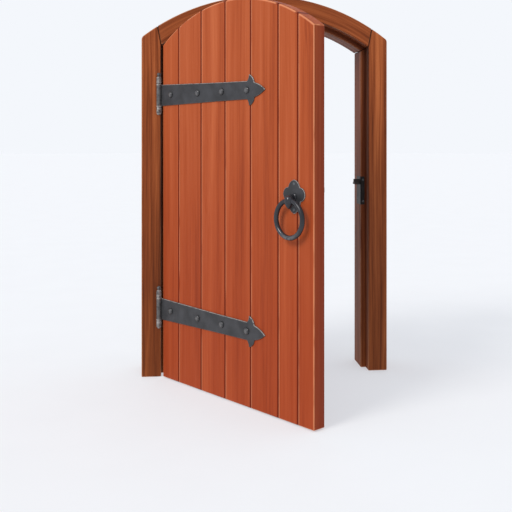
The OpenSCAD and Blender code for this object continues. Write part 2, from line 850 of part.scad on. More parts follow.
hinge_jamb();
latch_jamb();
arched_head();
head_tenons();
tenon_pegs();
top_eye(upper_strap_z);  // upper_hinge_top_eye
bottom_eye(upper_strap_z);  // upper_hinge_bottom_eye
hinge_pin(upper_strap_z);  // upper_hinge_pin
top_eye(lower_strap_z);  // lower_hinge_top_eye
bottom_eye(lower_strap_z);  // lower_hinge_bottom_eye
hinge_pin(lower_strap_z);  // lower_hinge_pin
latch_keeper();
keeper_screws();
opened() plank(0);  // plank_1
opened() plank(1);  // plank_2
opened() plank(2);  // plank_3
opened() plank(3);  // plank_4
opened() plank(4);  // plank_5
opened() plank(5);  // plank_6
opened() plank(6);  // plank_7
opened() top_ledge();
opened() middle_ledge();
opened() bottom_ledge();
opened() brace(lower_brace_z);  // lower_brace
opened() brace(upper_brace_z);  // upper_brace
opened() ledge_screws();
opened() strap(upper_strap_z);  // upper_strap
opened() strap(lower_strap_z);  // lower_strap
opened() strap_bolts();
opened() strap_washers();
opened() strap_nuts();
opened() ring_backplate();
opened() backplate_pins();
opened() rear_plate();
opened() rear_plate_screws();
opened() latch_guide();
opened() latch_pivot();
opened() ring_spindle();
opened() latch_lifter();
opened() spindle_nut();
opened() ring_handle();
opened() latch_bar();
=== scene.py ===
"""An arched boarded door ajar in its rebated frame: its finished pieces, materials and a plain studio."""

import math
import random

import bmesh
import bpy
from mathutils import Matrix, Vector


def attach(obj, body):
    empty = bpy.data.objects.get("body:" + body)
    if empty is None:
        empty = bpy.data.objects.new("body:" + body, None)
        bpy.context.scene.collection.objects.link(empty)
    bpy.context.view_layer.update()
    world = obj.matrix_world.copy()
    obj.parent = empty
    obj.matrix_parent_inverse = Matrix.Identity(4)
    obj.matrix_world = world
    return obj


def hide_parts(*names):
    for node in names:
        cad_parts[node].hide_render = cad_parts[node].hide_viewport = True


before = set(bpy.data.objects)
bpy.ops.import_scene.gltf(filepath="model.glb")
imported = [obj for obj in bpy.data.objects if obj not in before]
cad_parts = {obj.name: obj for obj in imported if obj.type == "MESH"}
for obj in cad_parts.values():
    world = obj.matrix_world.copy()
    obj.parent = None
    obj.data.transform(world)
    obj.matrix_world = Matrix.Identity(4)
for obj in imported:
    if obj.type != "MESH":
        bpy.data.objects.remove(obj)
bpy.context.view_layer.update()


# ---------------------------------------------------------------- meshes and objects

def as_mesh(bm, name):
    """Ends the shaping of a mesh."""
    mesh = bpy.data.meshes.new(name)
    bm.to_mesh(mesh)
    bm.free()
    return mesh


def put(name, data):
    """A new object in the scene for a mesh, a camera or a light."""
    shown = bpy.data.objects.new(name, data)
    bpy.context.scene.collection.objects.link(shown)
    return shown


# ---------------------------------------------------------------- camera

def place_camera():
    data = bpy.data.cameras.new("camera")
    data.sensor_width = 36
    data.lens = 59.25
    data.shift_y = -0.2336
    camera = put("camera", data)
    camera.location = (-0.49676, -4.35296, 1.23343)
    camera.rotation_euler = (math.radians(90), 0, math.radians(-5.826))
    bpy.context.scene.camera = camera


place_camera()


# ---------------------------------------------------------------- sizes
# Millimetres, with the leaf closed: X runs to the latch side, Y into the doorway, Z up.

FRAME_H = 1964.0
HALF_W = 642.0
REBATE_HALF = 542.0
STOP_HALF = 516.0
FRAME_D = 222.0
REBATE_D = 68.0
ARCH_RISE = 170.0
HEAD_T = 90.0
JOINT_LEAN = math.radians(11)

SPRING_Z = FRAME_H - HEAD_T - ARCH_RISE
ARCH_R = (REBATE_HALF**2 + ARCH_RISE**2) / (2 * ARCH_RISE)
ARCH_Z = SPRING_Z + ARCH_RISE - ARCH_R
HEAD_R = ARCH_R + HEAD_T
STOP_R = ARCH_R - (REBATE_HALF - STOP_HALF)
STOP_SPRING_Z = ARCH_Z + math.sqrt(STOP_R**2 - STOP_HALF**2)

LEAF_HALF = 538.0
LEAF_R = ARCH_R - 4
FLOOR_GAP = 6.0
BOARD_T = 66.0
BOARD_X = [-538.0, -403.0, -222.5, -42.0, 138.5, 319.0, 441.0, 538.0]
VEE = 5.0
LEDGE_BACK = 101.0
LEDGE_H = 130.0
LOCK_LEDGE_H = 150.0
LEDGE_END = LEAF_HALF - 44
MIDDLE_LEDGE_END = 474.0
BRACE_LOW_X = -430.0
BRACE_HIGH_X = 364.0
BRACE_W = 132.0

HINGE_X = -554.0
HINGE_Y = -14.0
EYE_R = 12.0
EYE_H = 42.0
KNUCKLE_H = 104.0
KNUCKLE_GAP = 0.4
STRAP_Z = {"upper": 1443.0, "lower": 352.0}
STRAP_T = 6.0
BOLT_X = [-LEAF_HALF + d for d in (76, 296, 479, 658)]

LOCK_X = 423.0
LOCK_Z = 976.0
HOLE_Z = 961.0
BULB_REACH = 33.0
RING_R = 79.0
BAR_FRONT = 105.0
BAR_BACK = 111.0
BAR_BOTTOM = 989.56
BAR_TOP = BAR_BOTTOM + 28
BAR_MID = BAR_BOTTOM + 14
BAR_PIVOT_X = 200.0
BAR_END = 494.0
GUIDE_X = 448.0
LOCK_LEDGE_Z = BAR_MID - 12
KEEPER_TOP = BAR_TOP + 2
KEEPER_LOW = KEEPER_TOP - 150

# The back faces of wood are held back by a hair, so that pegs and screw heads show on them.
HAIR = 0.3

OPEN = math.radians(54)
IN_FRAME = Matrix.Scale(0.001, 4)
HINGE = Vector((HINGE_X, HINGE_Y, 0))
ON_LEAF = IN_FRAME @ Matrix.Translation(HINGE) @ Matrix.Rotation(-OPEN, 4, "Z") @ Matrix.Translation(-HINGE)


# ---------------------------------------------------------------- shaping

def blank():
    bm = bmesh.new()
    bm.verts.layers.float.new("wear_and_highlight")
    bm.verts.layers.float.new("seam_and_shade")
    return bm


def loft(bm, rings, wear_and_highlight_levels=None):
    """Skins rings of points, each with as many points as the next, and caps both ends."""
    wear_and_highlight = bm.verts.layers.float["wear_and_highlight"]
    loops = []
    for k, ring in enumerate(rings):
        loops.append([bm.verts.new(p) for p in ring])
        for vert in loops[-1]:
            vert[wear_and_highlight] = wear_and_highlight_levels[k] if wear_and_highlight_levels else 0.0
    count = len(loops[0])
    for low, high in zip(loops, loops[1:]):
        for i in range(count):
            j = (i + 1) % count
            bm.faces.new((low[i], low[j], high[j], high[i]))
    bm.faces.new(reversed(loops[0]))
    bm.faces.new(loops[-1])


def inset(outline, distance):
    """Moves a closed outline inwards; it runs anticlockwise."""
    moved = []
    for i, point in enumerate(outline):
        before, after = outline[i - 1], outline[(i + 1) % len(outline)]
        a = Vector((point[0] - before[0], point[1] - before[1])).normalized()
        b = Vector((after[0] - point[0], after[1] - point[1])).normalized()
        side = Vector((-a.y - b.y, a.x + b.x))
        reach = max(side.length / 2, 0.45)
        side = side.normalized() * distance / reach if side.length > 1e-6 else Vector((-a.y, a.x)) * distance
        moved.append((point[0] + side.x, point[1] + side.y))
    return moved


def plate(bm, outline, back, front, edge, edge_back=0.0):
    """A flat plate cut to an outline of X and Z, with its front edge eased, from y = back to y = front."""
    area = sum(p[0] * q[1] - q[0] * p[1] for p, q in zip(outline, outline[1:] + outline[:1]))
    if area < 0:
        outline = outline[::-1]
    way = 1 if back > front else -1
    rings, wear_and_highlight_levels = [], []
    if edge_back:
        rings += [(inset(outline, edge_back), back), (outline, back - way * edge_back)]
        wear_and_highlight_levels += [0.0, 0.6]
    else:
        rings.append((outline, back))
        wear_and_highlight_levels.append(0.0)
    rings += [
        (outline, front + way * edge),
        (inset(outline, 0.3 * edge), front + way * 0.3 * edge),
        (inset(outline, edge), front),
    ]
    wear_and_highlight_levels += [0.35, 1.0, 0.0]
    loft(bm, [[(x, y, z) for x, z in ring] for ring, y in rings], wear_and_highlight_levels)


def block(bm, low, high, edge=1.0):
    """A squared bar between two corners with its edges eased all round."""
    rings, wear_and_highlight_levels = [], []
    for y, back_in, worn_and_highlight in (
        (low[1], edge, 0.0), (low[1] + 0.3 * edge, 0.3 * edge, 1.0), (low[1] + edge, 0.0, 0.4),
        (high[1] - edge, 0.0, 0.4), (high[1] - 0.3 * edge, 0.3 * edge, 1.0), (high[1], edge, 0.0),
    ):
        cut = 0.6 * edge
        x0, x1, z0, z1 = low[0] + back_in, high[0] - back_in, low[2] + back_in, high[2] - back_in
        rings.append([
            (x0 + cut, y, z0), (x1 - cut, y, z0), (x1, y, z0 + cut), (x1, y, z1 - cut),
            (x1 - cut, y, z1), (x0 + cut, y, z1), (x0, y, z1 - cut), (x0, y, z0 + cut),
        ])
        wear_and_highlight_levels.append(worn_and_highlight)
    loft(bm, rings, wear_and_highlight_levels)


def turned(bm, profile, foot, axis, sides=32, wear_and_highlight_levels=None):
    """Turns a profile of (radius, height) about an axis through foot. Radius 0 closes an end in a point."""
    wear_and_highlight = bm.verts.layers.float["wear_and_highlight"]
    axis = Vector(axis).normalized()
    across = axis.orthogonal().normalized()
    along = axis.cross(across)
    foot = Vector(foot)
    loops = []
    for k, (radius, height) in enumerate(profile):
        middle = foot + axis * height
        if radius < 1e-6:
            ring = [bm.verts.new(middle)]
        else:
            ring = [
                bm.verts.new(middle + radius * (math.cos(a) * across + math.sin(a) * along))
                for a in (math.tau * i / sides for i in range(sides))
            ]
        for vert in ring:
            vert[wear_and_highlight] = wear_and_highlight_levels[k] if wear_and_highlight_levels else 0.0
        loops.append(ring)
    for low, high in zip(loops, loops[1:]):
        for i in range(sides):
            j = (i + 1) % sides
            corners = [low[i % len(low)], low[j % len(low)], high[j % len(high)], high[i % len(high)]]
            corners = list(dict.fromkeys(corners))
            if len(corners) > 2:
                bm.faces.new(corners).smooth = True
    for ring, turn in ((loops[0], True), (loops[-1], False)):
        if len(ring) > 2:
            bm.faces.new(reversed(ring) if turn else ring)


def arc(cx, cz, radius, start, end, count):
    """Points on a circle from one angle to another, in degrees."""
    return [
        (cx + radius * math.cos(math.radians(a)), cz + radius * math.sin(math.radians(a)))
        for a in (start + (end - start) * k / count for k in range(count + 1))
    ]


def baked_mesh(obj):
    """The mesh that an object's modifiers make of it; the object goes."""
    depsgraph = bpy.context.evaluated_depsgraph_get()
    made = bpy.data.meshes.new_from_object(obj.evaluated_get(depsgraph))
    obj.modifiers.clear()
    bpy.data.objects.remove(obj)
    return made


SHARP = math.radians(20)
SOFT = math.radians(40)
GENTLE = math.radians(8)
FLAT = 0.002
WIDEST = 14.0
ARRIS_STEPS = 3


def round_over(bm, width_of):
    """Rounds each sharp edge over by width_of(its two ends), and marks the rounded strips as worn."""
    bmesh.ops.recalc_face_normals(bm, faces=bm.faces)
    weight = bm.edges.layers.float.new("bevel_weight_edge")
    for edge in bm.edges:
        if len(edge.link_faces) == 2 and edge.calc_face_angle(0) > SHARP:
            edge[weight] = width_of(*(vert.co for vert in edge.verts)) / WIDEST
    mesh = as_mesh(bm, "blank")
    mesh.materials.append(None)
    mesh.materials.append(None)
    holder = put("blank", mesh)
    arris = holder.modifiers.new("arris", "BEVEL")
    arris.width = WIDEST
    arris.segments = ARRIS_STEPS
    arris.limit_method = "WEIGHT"
    arris.material = 1
    arris.use_clamp_overlap = False
    made = baked_mesh(holder)
    out = bmesh.new()
    out.from_mesh(made)
    wear_and_highlight = out.verts.layers.float["wear_and_highlight"]
    for vert in out.verts:
        strips = [face.material_index == 1 for face in vert.link_faces]
        vert[wear_and_highlight] = 1.0 if all(strips) else 0.0
    for edge in out.edges:
        if len(edge.link_faces) == 2:
            one, other = edge.link_faces
            same = one.material_index == other.material_index
            edge.smooth = same and edge.calc_face_angle(0) < SOFT
    for face in out.faces:
        bends = [e.calc_face_angle(0) for e in face.edges if len(e.link_faces) == 2]
        face.smooth = face.material_index == 1 or any(FLAT < bend < GENTLE for bend in bends)
    for face in out.faces:
        face.material_index = 0
    return out


def dress(mesh, name, values, kind="FLOAT"):
    """Stores one value for each corner point of a mesh, for its material to read."""
    layer = mesh.attributes.get(name) or mesh.attributes.new(name, kind, "POINT")
    layer.data.foreach_set("vector" if kind == "FLOAT_VECTOR" else "value", values)


shift_grain = random.Random(20)


def finish(bm, name, material, body, nodes, place, grain=None, tone=0.0, seam_and_shade=None):
    """Makes a finished piece of what was shaped: places it, dresses it and hangs it on its body."""
    bmesh.ops.recalc_face_normals(bm, faces=bm.faces)
    mesh = as_mesh(bm, name)
    points = [vert.co.copy() for vert in mesh.vertices]
    if grain:
        away = Vector([shift_grain.uniform(-30, 30) for _ in range(3)])
        dress(mesh, "grain", [c for p in points for c in Vector(grain(p)) * 0.001 + away], "FLOAT_VECTOR")
        dress(mesh, "tone", [tone] * len(points))
    if seam_and_shade:
        dress(mesh, "seam_and_shade", [float(seam_and_shade(p)) for p in points])
    mesh.transform(place)
    mesh.materials.append(material)
    piece = put(name, mesh)
    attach(piece, body)
    if nodes:
        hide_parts(*nodes)
    return piece


# ---------------------------------------------------------------- finishes

def linear(code):
    """A colour written as six hex digits, in the values that shaders take."""
    parts = [int(code[i:i + 2], 16) / 255 for i in (0, 2, 4)]
    return tuple(p / 12.92 if p <= 0.04045 else ((p + 0.055) / 1.055) ** 2.4 for p in parts) + (1.0,)


def add(tree, kind, inputs=None, **settings):
    node = tree.nodes.new(kind)
    for key, value in settings.items():
        setattr(node, key, value)
    for key, value in (inputs or {}).items():
        if isinstance(value, bpy.types.NodeSocket):
            tree.links.new(value, node.inputs[key])
        else:
            node.inputs[key].default_value = value
    return node


def calc(tree, operation, a, b=0.0):
    return add(tree, "ShaderNodeMath", {0: a, 1: b}, operation=operation).outputs[0]


def weigh(tree, a, of_a, b, of_b):
    """The sum of two values, each by its own weight."""
    return calc(tree, "ADD", calc(tree, "MULTIPLY", a, of_a), calc(tree, "MULTIPLY", b, of_b))


def spread(tree, vector, x, y, z):
    return add(tree, "ShaderNodeVectorMath", {0: vector, 1: (x, y, z)}, operation="MULTIPLY").outputs[0]


def noise(tree, vector, scale=1.0, detail=2.0, roughness=0.5):
    return add(tree, "ShaderNodeTexNoise", {
        "Vector": vector, "Scale": scale, "Detail": detail, "Roughness": roughness,
    })


def ramp(tree, factor, stops):
    node = add(tree, "ShaderNodeValToRGB", {"Fac": factor})
    band = node.color_ramp
    while len(band.elements) < len(stops):
        band.elements.new(0.5)
    for element, (place, colour) in zip(band.elements, stops):
        element.position = place
        element.color = colour if len(colour) == 4 else (*colour, 1)
    return node.outputs["Color"]


def between(tree, factor, low, high):
    """0 where factor is under low, 1 where it is over high, and a soft step between."""
    return add(tree, "ShaderNodeMapRange", {
        "Value": factor, "From Min": low, "From Max": high,
    }, interpolation_type="SMOOTHSTEP").outputs[0]


def mix(tree, factor, a, b, blend="MIX"):
    return add(tree, "ShaderNodeMix", {0: factor, 6: a, 7: b}, data_type="RGBA", blend_type=blend).outputs[2]


KNOT_STAIN = 0.5
WORN_SHARE = 0.8


def stained_wood(name, stops, worn_and_highlight, grime_and_shade, streaks=0.5, rough=0.5, foot=(1.0, 1.0, 1.0)):
    """Stained timber: streaks and fibres along the grain, knots, worn arrises with painted highlights where a
    piece sets them, and dark seams that also carry painted shade in grooves, rebates and edge faces.
    """
    grime_and_shade = linear(grime_and_shade)
    material = bpy.data.materials.new(name)
    material.use_nodes = True
    tree = material.node_tree
    shader = tree.nodes["Principled BSDF"]
    grain = add(tree, "ShaderNodeAttribute", attribute_name="grain").outputs["Vector"]
    tone = add(tree, "ShaderNodeAttribute", attribute_name="tone").outputs["Fac"]
    wear_and_highlight = add(tree, "ShaderNodeAttribute", attribute_name="wear_and_highlight").outputs["Fac"]
    seam_and_shade = add(tree, "ShaderNodeAttribute", attribute_name="seam_and_shade").outputs["Fac"]
    sway = noise(tree, spread(tree, grain, 3.2, 3.2, 0.8), detail=1)
    knot = add(tree, "ShaderNodeTexVoronoi", {
        "Vector": spread(tree, grain, 6.3, 6.3, 1.15), "Scale": 1.0, "Randomness": 1.0,
    }, feature="F1")
    pick = add(tree, "ShaderNodeSeparateColor", {0: knot.outputs["Color"]}).outputs[0]
    sparse = between(tree, pick, 0.70, 0.72)
    near = calc(tree, "MULTIPLY", sparse, between(tree, knot.outputs["Distance"], 0.42, 0.02))
    pushed = add(tree, "ShaderNodeVectorMath", {
        0: sway.outputs["Color"], 1: (0.03, 0.03, 0.0), 2: grain,
    }, operation="MULTIPLY_ADD").outputs[0]
    aside = add(tree, "ShaderNodeCombineXYZ", {0: near, 1: near, 2: 0.0}).outputs[0]
    bent = add(tree, "ShaderNodeVectorMath", {
        0: aside, 1: (0.02, 0.02, 0.0), 2: pushed,
    }, operation="MULTIPLY_ADD").outputs[0]
    broad = noise(tree, spread(tree, bent, 15, 15, 0.55), detail=2).outputs["Fac"]
    streak = noise(tree, spread(tree, bent, 74, 74, 1.3), detail=3, roughness=0.6).outputs["Fac"]
    fibre = noise(tree, spread(tree, bent, 380, 380, 8), detail=2).outputs["Fac"]
    figure = weigh(tree, broad, 1 - streaks, streak, streaks)
    figure = weigh(tree, figure, 0.86, fibre, 0.14)
    figure = calc(tree, "ADD", figure, calc(tree, "MULTIPLY", tone, 0.035))
    colour = ramp(tree, figure, [(at, linear(code)) for at, code in stops])
    place = add(tree, "ShaderNodeTexCoord").outputs["Object"]
    height = add(tree, "ShaderNodeSeparateXYZ", {0: place}).outputs["Z"]
    lower = calc(tree, "SUBTRACT", 1.0, between(tree, height, 0.1, 1.8))
    colour = mix(tree, lower, colour, (*foot, 1.0), "MULTIPLY")
    heart = calc(tree, "MULTIPLY", sparse, between(tree, knot.outputs["Distance"], 0.10, 0.03))
    colour = mix(tree, calc(tree, "MULTIPLY", heart, KNOT_STAIN), colour, grime_and_shade)
    rubbed = noise(tree, spread(tree, grain, 26, 26, 5), detail=2).outputs["Fac"]
    rubbed = calc(tree, "MULTIPLY", between(tree, rubbed, 0.26, 0.52), WORN_SHARE)
    # Worn arrises and painted highlights: the wear layer pulls the colour towards the lighter worn colour.
    colour = mix(tree, calc(tree, "MULTIPLY", wear_and_highlight, rubbed), colour, linear(worn_and_highlight))
    # Dark seams and painted shade: the seam layer pulls the colour towards the dark seam colour.
    colour = mix(tree, calc(tree, "MULTIPLY", calc(tree, "POWER", seam_and_shade, 0.5), 0.92), colour, grime_and_shade)
    tree.links.new(colour, shader.inputs["Base Color"])
    matt = add(tree, "ShaderNodeMapRange", {
        "Value": streak, "From Min": 0.3, "From Max": 0.7, "To Min": rough + 0.1, "To Max": rough - 0.06,
    }).outputs[0]
    tree.links.new(matt, shader.inputs["Roughness"])
    shader.inputs["Specular IOR Level"].default_value = 0.16
    relief = weigh(tree, streak, 0.6, fibre, 0.4)
    bump = add(tree, "ShaderNodeBump", {"Strength": 0.45, "Distance": 0.0012, "Height": relief})
    tree.links.new(bump.outputs[0], shader.inputs["Normal"])
    return material


def forged_iron(name, dark, light, worn_and_highlight, rough=0.5, metallic=0.55, dents=60.0):
    """Blackened hammered iron: shallow dents, a mottled skin and brighter rubbed edges, with painted highlights
    where a piece sets them.
    """
    material = bpy.data.materials.new(name)
    material.use_nodes = True
    tree = material.node_tree
    shader = tree.nodes["Principled BSDF"]
    place = add(tree, "ShaderNodeTexCoord").outputs["Object"]
    wear_and_highlight = add(tree, "ShaderNodeAttribute", attribute_name="wear_and_highlight").outputs["Fac"]
    skin = noise(tree, place, 16, 3, 0.5).outputs["Fac"]
    dent = add(tree, "ShaderNodeTexVoronoi", {
        "Vector": place, "Scale": dents, "Smoothness": 1.0,
    }, feature="SMOOTH_F1")
    pits = noise(tree, place, 420, 2).outputs["Fac"]
    colour = ramp(tree, skin, [(0.34, linear(dark)), (0.66, linear(light))])
    rubbed = noise(tree, place, 90, 2).outputs["Fac"]
    share = calc(tree, "MULTIPLY", wear_and_highlight, between(tree, rubbed, 0.22, 0.55))
    colour = mix(tree, calc(tree, "MULTIPLY", share, 0.85), colour, linear(worn_and_highlight))
    tree.links.new(colour, shader.inputs["Base Color"])
    shader.inputs["Metallic"].default_value = metallic
    matt = add(tree, "ShaderNodeMapRange", {
        "Value": skin, "From Min": 0.3, "From Max": 0.7, "To Min": rough + 0.1, "To Max": rough - 0.08,
    }).outputs[0]
    tree.links.new(matt, shader.inputs["Roughness"])
    relief = weigh(tree, dent.outputs["Distance"], 0.75, pits, 0.25)
    bump = add(tree, "ShaderNodeBump", {"Strength": 0.3, "Distance": 0.0007, "Height": relief})
    tree.links.new(bump.outputs[0], shader.inputs["Normal"])
    return material


LEAF_STAIN = stained_wood(
    "leaf_stain",
    [(0.32, "8B3918"), (0.45, "A64C23"), (0.55, "AE542C"), (0.68, "BB6137")],
    "DA8C62", "6E1E06", streaks=0.34, rough=0.52, foot=(0.81, 0.60, 0.44),
)
FRAME_STAIN = stained_wood(
    "frame_stain",
    [(0.36, "562610"), (0.45, "7D3B18"), (0.54, "964C24"), (0.66, "B46435")],
    "B97A50", "200B05", streaks=0.6, rough=0.56, foot=(0.78, 0.82, 0.76),
)
LEDGE_STAIN = stained_wood(
    "ledge_stain",
    [(0.34, "753115"), (0.45, "8E401D"), (0.54, "9E4D27"), (0.66, "AE5D33")],
    "C07C54", "34100A", streaks=0.5, rough=0.55,
)
PEG_WOOD = stained_wood(
    "peg_wood",
    [(0.34, "7C5233"), (0.5, "96683F"), (0.66, "AD7D52")],
    "C79A6D", "3C2010", streaks=0.5, rough=0.6,
)
BLACK_IRON = forged_iron("black_iron", "313133", "3E3E41", "C4BEB8", rough=0.46, metallic=0.35)
BOLT_IRON = forged_iron("bolt_iron", "232325", "2D2D30", "9A9898", rough=0.26, metallic=0.2)
KEEPER_IRON = forged_iron("keeper_iron", "1B1816", "262220", "4A4440", rough=0.6, metallic=0.3)
RING_IRON = forged_iron("ring_iron", "222226", "303035", "A09EA0", rough=0.26, metallic=0.25, dents=45.0)
SCREW_STEEL = forged_iron("screw_steel", "55585B", "6C6F72", "9A9DA0", rough=0.42, dents=200.0)


# ---------------------------------------------------------------- the leaf's boards

def board_top(x):
    return ARCH_Z + math.sqrt(LEAF_R**2 - x * x)


def make_board(i, tone):
    """One board with its sloped front arrises, cut to the arch at its top."""
    low, high = BOARD_X[i], BOARD_X[i + 1]
    left, right = (0.0 if i == 0 else VEE), (0.0 if i == 6 else VEE)
    gap = 0.25
    back_low, back_high = low + (gap if left else 0), high - (gap if right else 0)
    count = max(4, round((high - low) / 12))
    rings = []
    for a, b, y in (
        (low + left, high - right, 0), (back_low, back_high, VEE), (back_low, back_high, BOARD_T - HAIR),
    ):
        ring = [(a, y, FLOOR_GAP), (b, y, FLOOR_GAP)]
        ring += [(x, y, board_top(x)) for x in (b + (a - b) * k / count for k in range(count + 1))]
        rings.append(ring)
    bm = blank()
    loft(bm, rings)
    if left:
        bmesh.ops.bisect_plane(
            bm, geom=bm.verts[:] + bm.edges[:] + bm.faces[:],
            plane_co=(low + left + 7, 0, 0), plane_no=(1, 0, 0),
        )

    def width(one, other):
        y = (one.y + other.y) / 2
        upright = abs(one.x - other.x) < 0.1 and abs(one.y - other.y) < 0.1
        outer = (not left and one.x < low + 1) or (not right and one.x > high - 1)
        if y < 0.1:
            return (6.0 if outer else 2.4) if upright else (9.0 if one.z > 500 else 5.0)
        if upright:
            return 0.0 if abs(y - VEE) < 0.1 else (5.0 if outer else 1.6)
        return 5.0 if outer else (1.6 if y < BOARD_T - 1 else 3.0)

    bm = round_over(bm, width)
    wear_and_highlight = bm.verts.layers.float["wear_and_highlight"]
    # Painted highlight: each board's left groove arris is lightened and its right one kept dark, as light from the
    # left would fall.
    for vert in bm.verts:
        if left and vert.co.y < 0.1 and vert.co.x < low + left + 3.5:
            vert[wear_and_highlight] = max(vert[wear_and_highlight], 0.75)
        elif right and vert.co.x > high - right - 3.5:
            vert[wear_and_highlight] = 0.0

    def seam_and_shade(p):
        # Dark joint and painted shade: each groove between boards darkens with its depth.
        if (left and p.x < low + left - 0.2) or (right and p.x > high - right + 0.2):
            return min(1.0, max(0.0, p.y - 0.15))
        # Painted shade: the leaf's two outer edge faces are darkened as if in shadow.
        at_side = (not left and p.x < low + 0.1) or (not right and p.x > high - 0.1)
        return 0.5 if at_side and p.y > 5.5 else 0.0

    finish(bm, f"board_{i + 1}", LEAF_STAIN, "leaf", [f"plank_{i + 1}"], ON_LEAF,
           grain=lambda p: p, tone=tone, seam_and_shade=seam_and_shade)


for i, tone in enumerate((0.1, -0.35, 0.3, -0.1, -0.6, 0.45, -0.25)):
    make_board(i, tone)


# ---------------------------------------------------------------- ledges and braces behind the boards

def back_timber(outline, end_edge):
    """A timber behind the boards, cut to an outline of X and Z, with its free arrises rounded over."""
    bm = blank()
    loft(bm, [[(x, y, z) for x, z in outline] for y in (BOARD_T, LEDGE_BACK - HAIR)])

    def width(one, other):
        if min(one.y, other.y) > BOARD_T + 1:
            return 5.0
        return end_edge if abs(one.y - other.y) > 1 else 0.0

    return round_over(bm, width)


def make_ledge(name, node, z, height, end):
    low, high = z - height / 2, z + height / 2
    bm = back_timber([(-LEDGE_END, low), (end, low), (end, high), (-LEDGE_END, high)], 4.0)
    finish(bm, name, LEDGE_STAIN, "leaf", [node], ON_LEAF,
           grain=lambda p: (p.z, p.y, p.x), tone=0.2)


def make_brace(name, node, low_z, high_z):
    half = BRACE_W / 2
    bm = back_timber([
        (BRACE_LOW_X - half, low_z), (BRACE_LOW_X + half, low_z),
        (BRACE_HIGH_X + half, high_z), (BRACE_HIGH_X - half, high_z),
    ], 3.0)
    run = Vector((BRACE_HIGH_X - BRACE_LOW_X, 0, high_z - low_z)).normalized()
    cross = Vector((run.z, 0, -run.x))
    finish(bm, name, LEDGE_STAIN, "leaf", [node], ON_LEAF,
           grain=lambda p: (p.dot(cross), p.y, p.dot(run)), tone=-0.3)


make_ledge("ledge_top", "top_ledge", STRAP_Z["upper"], LEDGE_H, LEDGE_END)
make_ledge("ledge_middle", "middle_ledge", LOCK_LEDGE_Z, LOCK_LEDGE_H, MIDDLE_LEDGE_END)
make_ledge("ledge_bottom", "bottom_ledge", STRAP_Z["lower"], LEDGE_H, LEDGE_END)
make_brace("brace_low", "lower_brace", STRAP_Z["lower"] + LEDGE_H / 2, LOCK_LEDGE_Z - LOCK_LEDGE_H / 2)
make_brace("brace_high", "upper_brace", LOCK_LEDGE_Z + LOCK_LEDGE_H / 2, STRAP_Z["upper"] - LEDGE_H / 2)


# ---------------------------------------------------------------- the frame

def on_joint(radius):
    """Where the head joint, seen from the front, meets a circle about the arch's centre."""
    way = Vector((-math.sin(JOINT_LEAN), math.cos(JOINT_LEAN)))
    start = Vector((-REBATE_HALF, SPRING_Z - ARCH_Z))
    along = -start.dot(way) + math.sqrt(start.dot(way) ** 2 + radius**2 - start.length_squared)
    point = start + along * way
    return point.x, point.y + ARCH_Z


def frame_joints_and_shade(p):
    """Dark in the head's joints, and painted shade inside the rebate, darker than on the front."""
    x, z = abs(p.x), p.z
    if x > REBATE_HALF - 1:
        off = abs((x - REBATE_HALF) * math.cos(JOINT_LEAN) - (z - SPRING_Z) * math.sin(JOINT_LEAN))
    else:
        mitre = Vector((REBATE_HALF - STOP_HALF, SPRING_Z - STOP_SPRING_Z)).normalized()
        off = abs((x - REBATE_HALF) * mitre.y - (z - SPRING_Z) * mitre.x)
    joint = max(0.0, 1 - off / 4.6) if z > SPRING_Z - 24 else 0.0
    # Painted shade: the rebate's faces take a share of the dark seam colour.
    inside = x < REBATE_HALF + 0.1 and math.hypot(x, z - ARCH_Z) < ARCH_R + 0.1 and p.y > 4.5
    return max(joint, 0.24 if inside else 0.0)


def unworn_joints(bm):
    wear_and_highlight = bm.verts.layers.float["wear_and_highlight"]
    for vert in bm.verts:
        if frame_joints_and_shade(Vector((vert.co.x, 0, vert.co.z))) > 0:
            vert[wear_and_highlight] = 0.0


